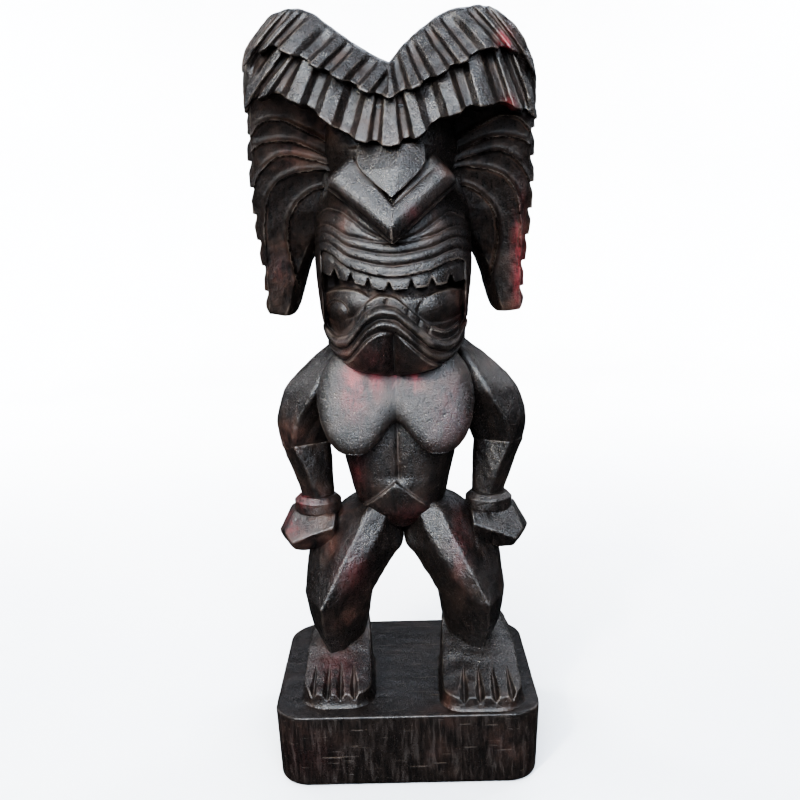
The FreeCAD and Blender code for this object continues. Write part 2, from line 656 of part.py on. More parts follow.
def assemble(doc):
    """Fits the blocks to one another, and returns every node of the figure."""
    dowels = make_dowels(doc)
    nodes = [group(doc, name, rods) for name, rods in dowels.items()]

    def pick(name, side):
        return dowels[name][list(SIDES).index(side)]

    belly_block = make_trunk(doc, "belly")
    torso_block = make_trunk(doc, "torso")
    head_core = make_trunk(doc, "head")
    chest = make_chest(doc)
    nose = make_nose(doc)
    jaw_region = make_jaw_region(doc)
    mouth = make_mouth(doc)
    doc.recompute()

    legs = {side: make_limb(doc, "leg", side) for side in SIDES}
    feet = {side: make_foot(doc, side) for side in SIDES}
    nodes.append(cut(doc, "plinth", make_plinth(doc), dowels["ankle_dowels"]))
    for side in SIDES:
        ankle, hip = pick("ankle_dowels", side), pick("hip_dowels", side)
        nodes.append(cut(doc, f"foot_{side}", feet[side], [legs[side], ankle]))
        nodes.append(cut(doc, f"leg_{side}", legs[side], [belly_block, ankle, hip]))
    nodes.append(cut(doc, "belly", belly_block, [chest, *dowels["hip_dowels"], *dowels["waist_dowel"]]))
    nodes.append(cut(doc, "chest_plate", chest, [head_core]))

    arms = {side: make_limb(doc, "upper_arm", side) for side in SIDES}
    for side in SIDES:
        elbow, shoulder = pick("elbow_dowels", side), pick("shoulder_dowels", side)
        forearm = make_limb(doc, "forearm", side)
        band = make_band(doc, side)
        nodes.append(cut(doc, f"upper_arm_{side}", arms[side],
                         [torso_block, chest, head_core, elbow, shoulder]))
        nodes.append(cut(doc, f"forearm_{side}", forearm, [legs[side], elbow]))
        nodes.append(cut(doc, f"wristband_{side}", band, [forearm, legs[side]]))
        nodes.append(cut(doc, f"hand_{side}", make_limb(doc, "hand", side), [legs[side], belly_block]))
    nodes.append(cut(doc, "torso", torso_block,
                     [chest, head_core, *dowels["waist_dowel"], *dowels["neck_dowel"],
                      *dowels["shoulder_dowels"]]))

    jaw = doc.addObject("Part::Common", "jaw_part")
    jaw.Base = head_core
    jaw.Tool = jaw_region
    skull_tools = [jaw_region, mouth, *dowels["neck_dowel"], *dowels["jaw_dowels"], *dowels["wing_dowels"],
                   *dowels["crest_dowels"], *dowels["nose_dowel"]]
    nodes.append(cut(doc, "head_block", head_core, skull_tools))
    nodes.append(cut(doc, "jaw_block", jaw, [mouth, *dowels["jaw_dowels"]]))
    nodes.append(cut(doc, "nose_block", nose, [head_core, *dowels["nose_dowel"]]))

    for side in SIDES:
        wing, low, high = make_wing(doc, side), make_tier(doc, "lower", side), make_tier(doc, "upper", side)
        nodes.append(cut(doc, f"ear_wing_{side}", wing, [head_core, low, high, pick("wing_dowels", side)]))
        nodes.append(cut(doc, f"crest_lower_{side}", low, [head_core, nose, pick("crest_dowels", side)]))
        nodes.append(cut(doc, f"crest_upper_{side}", high, [pick("crest_dowels", side)]))
    return nodes


def check(doc, nodes):
    """Stops if an object failed to build or a node isn't a valid solid."""
    failed = [o.Name for o in doc.Objects if "Invalid" in o.State or "Error" in o.State]
    if failed:
        raise RuntimeError(f"these objects failed: {failed}")
    for node in nodes:
        shape = node.Shape
        if shape.isNull() or not shape.isValid() or not shape.Solids or shape.Volume <= 0:
            raise RuntimeError(f"{node.Label} is not a valid solid")


def main():
    doc = FreeCAD.newDocument("tiki_figure")
    add_sheet(doc)
    nodes = assemble(doc)
    doc.recompute()
    check(doc, nodes)
    os.makedirs("parts", exist_ok=True)
    for node in nodes:
        node.Shape.exportStep(f"parts/{node.Label}.step")
        box = node.Shape.BoundBox
        print(f"{node.Label:20s} {len(node.Shape.Solids)} solids {node.Shape.Volume / 1000:9.1f} cm3  "
              f"z {box.ZMin:.0f}..{box.ZMax:.0f}")


main()
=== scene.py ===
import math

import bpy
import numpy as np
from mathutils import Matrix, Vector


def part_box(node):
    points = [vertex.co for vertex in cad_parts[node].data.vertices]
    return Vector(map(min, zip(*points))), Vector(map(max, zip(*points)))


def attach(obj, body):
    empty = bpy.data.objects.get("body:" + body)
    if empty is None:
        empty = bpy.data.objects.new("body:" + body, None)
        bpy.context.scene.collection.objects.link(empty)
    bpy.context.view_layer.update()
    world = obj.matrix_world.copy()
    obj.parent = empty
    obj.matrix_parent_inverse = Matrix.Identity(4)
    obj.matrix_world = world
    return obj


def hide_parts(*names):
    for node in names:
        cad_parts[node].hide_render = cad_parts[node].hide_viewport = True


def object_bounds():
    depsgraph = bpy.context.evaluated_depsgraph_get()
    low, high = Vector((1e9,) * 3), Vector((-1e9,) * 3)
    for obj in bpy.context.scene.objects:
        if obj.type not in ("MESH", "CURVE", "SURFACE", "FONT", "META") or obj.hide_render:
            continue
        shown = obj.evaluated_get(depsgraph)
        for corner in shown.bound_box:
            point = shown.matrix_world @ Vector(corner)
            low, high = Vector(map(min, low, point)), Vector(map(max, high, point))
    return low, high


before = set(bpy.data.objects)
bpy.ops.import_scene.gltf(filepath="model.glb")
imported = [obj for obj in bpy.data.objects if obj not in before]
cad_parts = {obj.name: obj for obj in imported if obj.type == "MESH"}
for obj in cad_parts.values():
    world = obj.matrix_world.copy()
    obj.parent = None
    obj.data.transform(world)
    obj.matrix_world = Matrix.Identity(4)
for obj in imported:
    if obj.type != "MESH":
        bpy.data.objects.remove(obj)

# Looks of the carved wooden tiki figure.
#
# Every block of the CAD frame gets one closed mesh. A block's shape is a field: a function of x, y and z
# in millimetres that gives the distance to the surface, negative inside the wood. It starts from the
# block's own box in the frame. "left" is the -X side and -Y is the figure's front.

cad_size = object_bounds()
MM = 1000.0
SIDES = {"left": -1, "right": 1}
SEAM = 2.0  # how far a block reaches into its neighbour, so that no gap shows where they meet
TUCK = 8.0  # how far hair reaches up behind the lower edge of the tier above it
FINE_REACH = 2.5  # how far around a point narrow edges and cuts are felt
BROAD_REACH = 9.0  # the same for the wide ones
WAVES = 9  # how many waves make up the unevenness of hand carving


# ------------------------ fields

def box(name):
    """Lowest and highest corner of a CAD node, in millimetres."""
    low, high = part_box(name)
    return np.array(low) * MM, np.array(high) * MM


def both(a, b, radius):
    """Where two shapes overlap, with the edge between them rounded."""
    over = np.hypot(np.maximum(a + radius, 0), np.maximum(b + radius, 0))
    return np.minimum(-radius, np.maximum(a, b)) + over


def bevelled(a, b, width):
    """Where two shapes overlap, with the edge between them cut off flat."""
    return np.maximum(np.maximum(a, b), (a + b + width) * math.sqrt(0.5))


def curve(at, knots):
    """A smooth line through knots of (place, value). It never overshoots and is flat past its ends."""
    place, value = np.array(knots, float).T
    gap = np.diff(place)
    slope = np.diff(value) / gap
    tangent = np.concatenate([slope[:1], np.zeros(len(slope) - 1), slope[-1:]])
    turning = slope[1:] * slope[:-1] <= 0
    total = np.where(turning, 1.0, slope[1:] + slope[:-1])
    tangent[1:-1] = np.where(turning, 0.0, 2 * slope[1:] * slope[:-1] / total)
    i = np.clip(np.searchsorted(place, at) - 1, 0, len(gap) - 1)
    t = np.clip((at - place[i]) / gap[i], 0, 1)
    bend = (1 - t) * tangent[i] - t * tangent[i + 1] + (2 * t - 1) * slope[i]
    return value[i] + gap[i] * t * (slope[i] + (1 - t) * bend)


def ramp(distance, width):
    """0 outside an edge and 1 inside it, changing smoothly over a width."""
    t = np.clip(distance / width + 0.5, 0, 1)
    return t * t * (3 - 2 * t)


def mix(a, b, amount):
    """From a to b as the amount goes from 0 to 1."""
    return a + (b - a) * amount


def groove(distance, depth, width):
    """A cut with a sharp bottom and rounded shoulders."""
    return depth * np.exp(-np.abs(distance) / width)


def slab(x, y, half_x, half_y, radius):
    """Distance to an upright block with a rounded rectangular plan about the origin."""
    over_x = np.abs(x) - half_x + radius
    over_y = np.abs(y) - half_y + radius
    outside = np.hypot(np.maximum(over_x, 0), np.maximum(over_y, 0))
    return outside + np.minimum(np.maximum(over_x, over_y), 0) - radius


def barrel(x, y, half_x, half_y, power):
    """Distance to an upright block whose plan lies between an ellipse and a rectangle."""
    a, b = np.abs(x) / half_x, np.abs(y) / half_y
    ring = np.maximum((a**power + b**power) ** (1 / power), 1e-6)
    steepness = np.hypot((a / ring) ** (power - 1) / half_x, (b / ring) ** (power - 1) / half_y)
    return (ring - 1) / steepness


def loft(x, y, z, stations, rounding):
    """Distance to a bar. Each station is (height, corners), the corners in order around the bar."""
    heights = [height for height, _ in stations]
    count = len(stations[0][1])
    corner = [
        [curve(z, [(h, corners[k][axis]) for h, (_, corners) in zip(heights, stations)]) for axis in (0, 1)]
        for k in range(count)
    ]
    distance = None
    for k in range(count):
        (x0, y0), (x1, y1) = corner[k], corner[(k + 1) % count]
        length = np.hypot(x1 - x0, y1 - y0)
        face = ((x - x0) * (y1 - y0) - (y - y0) * (x1 - x0)) / length
        distance = face if distance is None else both(distance, face, rounding)
    return distance


def facets(x, y, z, planes, rounding):
    """Distance to a block cut by flat planes, each a (direction it faces, point on it)."""
    distance = None
    for facing, (px, py, pz) in planes:
        nx, ny, nz = np.array(facing) / np.linalg.norm(facing)
        face = (x - px) * nx + (y - py) * ny + (z - pz) * nz
        distance = face if distance is None else both(distance, face, rounding)
    return distance


# ------------------------ meshes

def surface(field, low, high, step):
    """Points and four-sided faces where the field is zero, on a grid between two corners."""
    axes = [np.arange(a - 2 * s, b + 3 * s, s) for a, b, s in zip(low, high, step)]
    shape = tuple(len(axis) for axis in axes)
    value = np.array(np.broadcast_to(field(*np.ix_(*axes)), shape))
    for axis in range(3):
        np.moveaxis(value, axis, 0)[[0, -1]] = 1.0
    cells, places = [], []
    for axis in range(3):
        across, up = (axis + 1) % 3, (axis + 2) % 3
        layers = np.moveaxis(value, axis, 0)
        near, far = np.moveaxis(layers[:-1], 0, axis), np.moveaxis(layers[1:], 0, axis)
        index = list(np.nonzero((near < 0) != (far < 0)))
        a, b = near[tuple(index)], far[tuple(index)]
        place = np.stack([axes[k][index[k]] for k in range(3)], 1)
        place[:, axis] += step[axis] * a / (a - b)
        ring = []
        for back_across, back_up in ((1, 1), (0, 1), (0, 0), (1, 0)):
            cell = list(index)
            cell[across] = cell[across] - back_across
            cell[up] = cell[up] - back_up
            ring.append(np.ravel_multi_index(cell, shape))
        ring = np.stack(ring, 1)
        ring[a > 0] = ring[a > 0][:, ::-1]
        cells.append(ring)
        places.append(np.repeat(place, 4, 0))
    used, faces = np.unique(np.concatenate(cells).ravel(), return_inverse=True)
    places = np.concatenate(places)
    share = np.bincount(faces)
    points = np.stack([np.bincount(faces, places[:, k]) / share for k in range(3)], 1)
    return points, faces.reshape(-1, 4)


def slope_at(field, points, reach):
    """The field's value, slope and bulge at points. A bulge is above 0 on edges and below 0 in grooves."""
    x, y, z = points.T
    centre = field(x, y, z)
    slope, total = [], 0
    for axis in range(3):
        shift = [reach * (axis == k) for k in range(3)]
        ahead = field(x + shift[0], y + shift[1], z + shift[2])
        behind = field(x - shift[0], y - shift[1], z - shift[2])
        slope.append((ahead - behind) / (2 * reach))
        total = total + ahead + behind
    return centre, np.stack(slope, 1), (total / 6 - centre) / reach


def settle(field, points, step):
    """Moves points onto the surface, by less than half a grid step at a time."""
    for _ in range(3):
        value, slope, _ = slope_at(field, points, 0.2 * step)
        move = slope * (value / np.maximum((slope**2).sum(1), 0.05))[:, None]
        size = np.linalg.norm(move, axis=1, keepdims=True)
        points = points - move * np.minimum(1, 0.5 * step / np.maximum(size, 1e-9))
    return points


def unevenness(points, seed, size, depth):
    """How far hand carving leaves each point from true: a few crossing waves of about one size."""
    rng = np.random.default_rng(seed)
    total = np.zeros(len(points))
    for _ in range(WAVES):
        direction = rng.normal(size=3)
        direction *= 2 * math.pi / (size * rng.uniform(0.7, 1.6) * np.linalg.norm(direction))
        total += np.sin(points @ direction + rng.uniform(0, 2 * math.pi))
    return total * depth / math.sqrt(WAVES)


# Where red shows through the stain on the front: (block, share of its width from -X, share of its
# height, width and height of the patch in millimetres, strength).
RED_PLACES = [
    ("chest_plate", 0.24, 0.66, 14, 34, 0.6), ("chest_plate", 0.38, 0.76, 9, 24, 0.7),
    ("chest_plate", 0.50, 0.80, 8, 18, 0.9), ("chest_plate", 0.62, 0.78, 10, 20, 0.9),
    ("chest_plate", 0.82, 0.42, 24, 40, 0.12), ("hand_left", 0.2, 0.75, 12, 10, 0.4),
    ("wristband_left", 0.2, 0.9, 16, 8, 0.4), ("leg_left", 0.50, 0.66, 20, 36, 0.12),
    ("leg_right", 0.52, 0.76, 12, 36, 0.15), ("foot_left", 0.45, 0.45, 30, 18, 0.10),
    ("belly", 0.14, 0.7, 14, 40, 0.12), ("belly", 0.62, 0.12, 30, 18, 0.12),
    ("ear_wing_right", 0.84, 0.22, 8, 62, 0.6), ("crest_upper_right", 0.76, 0.6, 9, 14, 0.9),
    ("crest_lower_right", 0.78, 0.4, 8, 12, 0.4), ("nose_block", 0.66, 0.25, 8, 10, 0.12),
    ("jaw_block", 0.35, 0.25, 30, 20, 0.06), ("plinth", 0.12, 0.45, 40, 30, 0.10),
]


def red_stain(points, block):
    """How strongly the red under the stain shows at each point of a block."""
    total = np.zeros(len(points))
    low, high = box(block)
    for name, across, up, width, height, strength in RED_PLACES:
        if name != block:
            continue
        reach = np.hypot((points[:, 0] - mix(low[0], high[0], across)) / width,
                         (points[:, 2] - mix(low[2], high[2], up)) / height)
        total = np.maximum(total, strength * np.exp(-(reach**2)))
    return total * (points[:, 1] < mix(low[1], high[1], 0.7))


def carve(block, material, field, step, margin=6.0, wobble=0.5, skin=None):
    """One piece: the field's surface, standing for the CAD node of that name. Points lie a step apart,
    within the node's box and a margin around it, and the wobble is how far carving leaves them from true.
    The skin is the same shape without the cuts that part it from its neighbours; the pale edges (wear and
    painted highlight) and the painted shade in hollows follow the skin."""
    low, high = box(block)
    points, faces = surface(field, low - margin, high + margin, (step, step, step))
    points = settle(field, points, step)
    _, slope, fine = slope_at(skin or field, points, FINE_REACH)
    _, _, broad = slope_at(skin or field, points, BROAD_REACH)
    normal = slope / np.maximum(np.linalg.norm(slope, axis=1, keepdims=True), 1e-6)
    uneven = unevenness(points, 3, 26.0, wobble) + unevenness(points, 4, 11.0, 0.35 * wobble)
    above_floor = points[:, 2] > 0.5
    points = points + normal * (uneven * above_floor)[:, None]
    mesh = bpy.data.meshes.new(block + "_carved")
    mesh.vertices.add(len(points))
    mesh.vertices.foreach_set("co", (points / MM).ravel())
    mesh.loops.add(faces.size)
    mesh.loops.foreach_set("vertex_index", faces.ravel())
    mesh.polygons.add(len(faces))
    mesh.polygons.foreach_set("loop_start", np.arange(0, faces.size, 4))
    mesh.polygons.foreach_set("use_smooth", np.ones(len(faces), bool))
    amounts = {"fine_bulge": fine, "broad_bulge": broad, "red_stain": red_stain(points, block)}
    for name, amount in amounts.items():
        mesh.attributes.new(name, "FLOAT", "POINT").data.foreach_set("value", amount.astype(np.float32))
    mesh.update(calc_edges=True)
    mesh.materials.append(material)
    piece = bpy.data.objects.new(block + "_carved", mesh)
    bpy.context.scene.collection.objects.link(piece)
    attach(piece, "root")
    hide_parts(block)


# ------------------------ plinth and feet

def plinth_field():
    """A block with rounded corners, a little narrower at the floor."""
    low, high = box("plinth")
    centre, half = (low + high) / 2, (high - low) / 2
    taper, front_corner, back_corner = 0.042, 40.0, 60.0
    top_edge, floor_edge = 3.0, 9.0

    def field(x, y, z):
        inset = taper * (high[2] - z)
        corner = np.where(y < centre[1], front_corner, back_corner)
        side = slab(x - centre[0], y - centre[1], half[0] - inset, half[1] - inset, corner)
        return both(both(side, z - high[2], top_edge), low[2] - z, floor_edge)

    return field


def foot_field(side):
    """A block foot that climbs from the toes to the heel, with four slots cut between five toes."""
    low, high = box(f"foot_{side}")
    centre, half = (low + high) / 2, (high - low) / 2
    height = high[2] - low[2]
    slots = (0.26, 0.46, 0.65, 0.86)  # from the inner side of the foot to its outer side
    slot_depth, slot_wall = 9.5, 1.6
    toe_corner, heel_corner = 32.0, 38.0
    climb = [(0, 0.23), (0.1, 0.31), (0.3, 0.49), (0.55, 0.78), (0.8, 0.97), (1, 1.0)]

    def field(x, y, z):
        out = (x - centre[0]) * SIDES[side]
        run = (y - low[1]) / (high[1] - low[1])
        corner = np.where(y < centre[1], toe_corner, heel_corner)
        narrowing = 4.0 * np.clip(run - 0.3, 0, 1) + 0.06 * (z - low[2])
        plan = slab(out, y - centre[1], half[0] - narrowing, half[1], corner)
        top = low[2] + height * curve(run, climb) - 7.0 * np.abs(out / half[0]) ** 4
        top = top - 24.0 * np.clip(out / half[0], 0, 1) ** 2 * np.clip((run - 0.45) / 0.3, 0, 1)
        cut = slot_depth * np.clip((0.33 - run) / 0.24, 0, 1)
        for slot in slots:
            fan = 1.0 - 0.35 * np.clip(run, 0, 0.4)
            middle = (2 * slot - 1) * half[0] * fan
            top = top - np.maximum(0, cut - slot_wall * np.abs(out - middle))
        plan = plan - 3.5 * np.exp(-np.maximum(z - low[2], 0) / 3.0)
        return np.maximum(both(plan, (z - top) * 0.8, 1.5), low[2] - SEAM - z)

    return field


# ------------------------ legs, arms and hands

def in_box(side, low, high, stations):
    """Stations given in fractions of a block's box, as distances. x runs outward from the middle of
    the figure, y from the front to the back and z upward."""
    inner, outer = sorted((low[0] * SIDES[side], high[0] * SIDES[side]))
    placed = []
    for height, corners in stations:
        spots = [(inner + a * (outer - inner), low[1] + b * (high[1] - low[1])) for a, b in corners]
        placed.append((low[2] + height * (high[2] - low[2]), spots))
    return placed


def limb_ring(inner, outer, crease, front, back, facet=0.14, flank=0.34):
    """The corners of a limb's section: a sharp crease down the front with a flat facet beside it."""
    deep = back - front
    middle = (inner + outer) / 2
    return [
        (crease, front),
        (outer - 0.04, front + flank * deep),
        (outer, front + 0.55 * deep),
        (mix(middle, outer, 0.62), back - 0.08 * deep),
        (middle, back),
        (mix(middle, inner, 0.62), back - 0.08 * deep),
        (inner, front + 0.55 * deep),
        (inner + 0.03, front + flank * deep),
        (crease - facet, front + 0.06 * deep),
    ]


def leg_field(side):
    """A bent leg: the thigh comes forward to a pointed knee and the shin runs back down to the foot."""
    low, high = box(f"leg_{side}")
    thigh = [
        (0.45, limb_ring(0.30, 1.0, 0.80, 0.0, 0.88, 0.15)),
        (0.67, limb_ring(0.06, 0.95, 0.60, 0.08, 0.95, 0.22)),
        (0.74, limb_ring(-0.03, 0.90, 0.54, 0.12, 0.97, 0.24)),
        (0.86, limb_ring(-0.03, 0.79, 0.42, 0.2, 1.0, 0.24)),
        (1.0, limb_ring(-0.03, 0.56, 0.32, 0.3, 0.95, 0.22)),
    ]
    shin = [
        (0.0, limb_ring(0.44, 0.86, 0.72, 0.40, 0.84)),
        (0.14, limb_ring(0.40, 0.90, 0.75, 0.24, 0.90)),
        (0.30, limb_ring(0.34, 0.97, 0.79, 0.09, 0.92)),
        (0.45, limb_ring(0.30, 1.0, 0.80, 0.0, 0.88)),
    ]
    thigh = in_box(side, low, high, thigh)
    shin = in_box(side, low, high, shin)
    knee = thigh[0][0]

    def field(x, y, z):
        out = x * SIDES[side]
        bar = np.where(z > knee, loft(out, y, z, thigh, 3.0), loft(out, y, z, shin, 3.0))
        hip = both(bar, z - high[2] + 0.35 * np.maximum(out - 40, 0), 14.0)
        return np.maximum(hip, low[2] - 8.0 - z)

    return field


def upper_arm_field(side):
    """A heavy upper arm that swells from the shoulder to the elbow."""
    low, high = box(f"upper_arm_{side}")
    stations = [
        (0.0, limb_ring(0.34, 0.97, 0.78, 0.14, 0.90, 0.1)),
        (0.22, limb_ring(0.24, 1.0, 0.72, 0.05, 0.96, 0.1)),
        (0.52, limb_ring(0.05, 0.90, 0.52, 0.0, 1.0, 0.1)),
        (0.80, limb_ring(0.0, 0.60, 0.34, 0.12, 0.94, 0.1)),
        (1.0, limb_ring(0.0, 0.30, 0.18, 0.32, 0.80, 0.06)),
    ]
    stations = in_box(side, low, high, stations)

    def field(x, y, z):
        bar = loft(x * SIDES[side], y, z, stations, 7.0)
        return both(bar, low[2] - z, 1.0)

    return field


def forearm_field(side):
    """A forearm that narrows from the elbow to the wrist, cut in flat facets."""
    low, high = box(f"forearm_{side}")
    stations = [
        (-0.2, limb_ring(0.0, 0.52, 0.30, 0.15, 0.55)),
        (0.0, limb_ring(0.0, 0.55, 0.32, 0.14, 0.58)),
        (0.6, limb_ring(0.03, 0.80, 0.48, 0.04, 0.82)),
        (1.0, limb_ring(0.06, 1.0, 0.68, 0.0, 1.0)),
    ]
    stations = in_box(side, low, high, stations)

    def field(x, y, z):
        bar = loft(x * SIDES[side], y, z, stations, 3.5)
        return np.maximum(np.maximum(bar, low[2] - 6.0 - z), z - high[2] - 4.0)

    return field


def hand_field(side):
    """A fist cut as a wedge: a flat upper face, a ridge that climbs inward across its front and a groove
    beside the thumb."""
    low, high = box(f"hand_{side}")
    inner, outer = sorted((low[0] * SIDES[side], high[0] * SIDES[side]))
    front, back, bottom, top = low[1], high[1], low[2], high[2]
    ridge = (mix(inner, outer, 0.42), front, mix(bottom, top, 0.54))
    planes = [
        ((0.24, -0.70, 0.68), ridge),  # front, above the ridge
        ((-0.19, -0.79, -0.50), ridge),  # front, below it
        ((0.80, -0.12, 0.52), (outer, 0, mix(bottom, top, 0.62))),  # outer side, above
        ((0.78, -0.30, -0.42), (outer - 1, mix(front, back, 0.35), mix(bottom, top, 0.50))),
        ((0.14, 0, -1), (mix(inner, outer, 0.55), 0, bottom)),  # underside
        ((0.5, 0.8, 0), (outer, back - 22, 0)),
        ((0, 1, 0), (0, back, 0)),
        ((-1, 0, -0.1), (inner, 0, mix(bottom, top, 0.5))),  # inner side
        ((0, 0, 1), (0, 0, top + 4.0)),  # top, inside the wristband
    ]
    thumb = mix(inner, outer, 0.36)
    thumb_depth, thumb_width = 5.0, 3.0

    def field(x, y, z):
        out = x * SIDES[side]
        fist = facets(out, y, z, planes, 3.0)
        under = ramp(mix(bottom, top, 0.52) - z, 5.0)
        return fist + thumb_depth * under * np.exp(-np.abs(out - thumb) / thumb_width) * (y < 0)

    return field


def wristband_field(side):
    """A raised band with an upright side and a wide sloping top."""
    low, high = box(f"wristband_{side}")
    centre, half = (low + high) / 2, (high - low) / 2

    def field(x, y, z):
        around = np.hypot(x - centre[0], y - centre[1]) - half[0]
        band = bevelled(around, z - high[2], 7.0)
        return both(band, low[2] - z, 3.0)

    return field


# ------------------------ trunk and chest

def trunk_shape(x, y, z):
    """The belly and the torso behind the chest as one tapering shape."""
    belly_low, belly_high = box("belly")
    torso_low, torso_high = box("torso")
    waist = belly_high[2]
    tall = waist - belly_low[2]
    wide = (belly_high[0] - belly_low[0]) / 2
    chest_wide = (torso_high[0] - torso_low[0]) / 2
    front, back = belly_low[1], belly_high[1]
    width = curve(z, [
        (belly_low[2] - 6, 0.2 * wide), (belly_low[2] + 0.04 * tall, 0.42 * wide),
        (belly_low[2] + 0.25 * tall, 0.74 * wide), (belly_low[2] + 0.55 * tall, 0.86 * wide),
        (waist, wide), (mix(waist, torso_high[2], 0.55), chest_wide), (torso_high[2], 0.92 * chest_wide),
    ])
    lean = curve(z, [(belly_low[2], (belly_low[0] + belly_high[0]) / 2),
                     (torso_high[2], (torso_low[0] + torso_high[0]) / 2)])
    face = curve(z, [
        (belly_low[2], 0.62 * front), (belly_low[2] + 0.2 * tall, 0.86 * front),
        (belly_low[2] + 0.5 * tall, 0.95 * front), (waist, front), (torso_high[2], 0.9 * front),
    ])
    middle = (face + back) / 2
    u = x - lean
    shape = barrel(u, y - middle, width, (back - face) / 2, 2.5)
    peak = belly_low[2] + 0.57 * tall
    valley = (groove(u + 2.0, 6.0, 16.0) + groove(u + 2.0, 2.0, 2.5)) * ramp(z - peak, 16.0)
    apron = ramp(peak - 0.85 * np.abs(u + 6.0) - z, 3.0)
    return shape + (valley - 4.0 * apron) * (y < middle)


def belly_field():
    """The lower trunk, rounded off between the thighs."""
    low, high = box("belly")

    def field(x, y, z):
        cut = np.maximum(trunk_shape(x, y, z), z - high[2] - SEAM)
        return both(cut, low[2] - 7.0 - z, 10.0)

    return field


def torso_field():
    """The upper trunk behind the chest plate."""
    low, high = box("torso")

    def field(x, y, z):
        cut = np.maximum(trunk_shape(x, y, z), low[2] - SEAM - z)
        return both(cut, z - high[2], 8.0)

    return field


def chest_field():
    """A heart-shaped slab laid over the ribs: two round lobes below, narrowing to the neck."""
    low, high = box("chest_plate")
    axis = (low[0] + high[0]) / 2
    wide = (high[0] - low[0]) / 2
    tall = high[2] - low[2]
    hem = [(0, 0.31), (0.1, 0.24), (0.24, 0.12), (0.38, 0.03), (0.52, -0.01), (0.7, 0.03), (0.85, 0.13),
           (0.95, 0.27), (1.0, 0.43)]
    hem = [(a * wide, low[2] + rise * tall) for a, rise in hem]
    flank = [(0.0, 0.8), (0.15, 0.92), (0.45, 1.0), (0.7, 0.95), (1.0, 0.70)]
    flank = [(low[2] + up * tall, share * wide) for up, share in flank]
    leans_back, rounds_off, lobes_swell, edge_width = 34.0, 6.0, 3.0, 9.0

    def field(x, y, z):
        a = np.abs(x - axis)
        outline = both(0.75 * (curve(a, hem) - z), a - curve(z, flank), 8.0)
        outline = np.maximum(outline, z - high[2])
        height = (z - low[2]) / tall
        front = low[1] + leans_back * height**1.1 + rounds_off * (a / wide) ** 2
        front = front - lobes_swell * np.sin(math.pi * a / wide)
        edge_turn = edge_width * np.exp(-np.maximum(-outline, 0) / edge_width)
        return np.maximum(both(outline, front + edge_turn - y, 2.5), y - high[1] - 16.0)

    return field


# ------------------------ head, mouth and nose

head_low, head_high = box("head_block")
jaw_low, jaw_high = box("jaw_block")
head_axis = (head_low[0] + head_high[0]) / 2
bite = jaw_high[2]
hairline = box("crest_lower_left")[0][2]

# Lines across the face: (distance from the middle of the face, height above the bite).
LIP_EDGE = [(-99, 40), (-88, 45), (-53, 24), (0, 13), (46, 20), (81, 31), (99, 24)]
TEETH_EDGE = [(-92, 16), (-55, 6), (-4, -4), (48, 0), (92, 4)]
NOSE_FOLD = [(-98, 90), (-82, 98), (-70, 96), (-25, 66), (0, 57), (28, 64), (60, 84), (72, 90), (98, 78)]
LOWER_LIP = [(-98, -54), (-87, -66), (-75, -73), (-63, -70), (-48, -54), (-34, -38), (-16, -30), (-1, -32),
             (13, -42), (31, -59), (48, -73), (66, -79), (81, -73), (96, -54)]
# Gaps between the teeth, as distances from the middle of the face.
TOOTH_GAPS = (-75, -54, -32, -6, 22, 48, 72)
LOWER_TOOTH_GAPS = (-34, -8, 24, 43, 59)


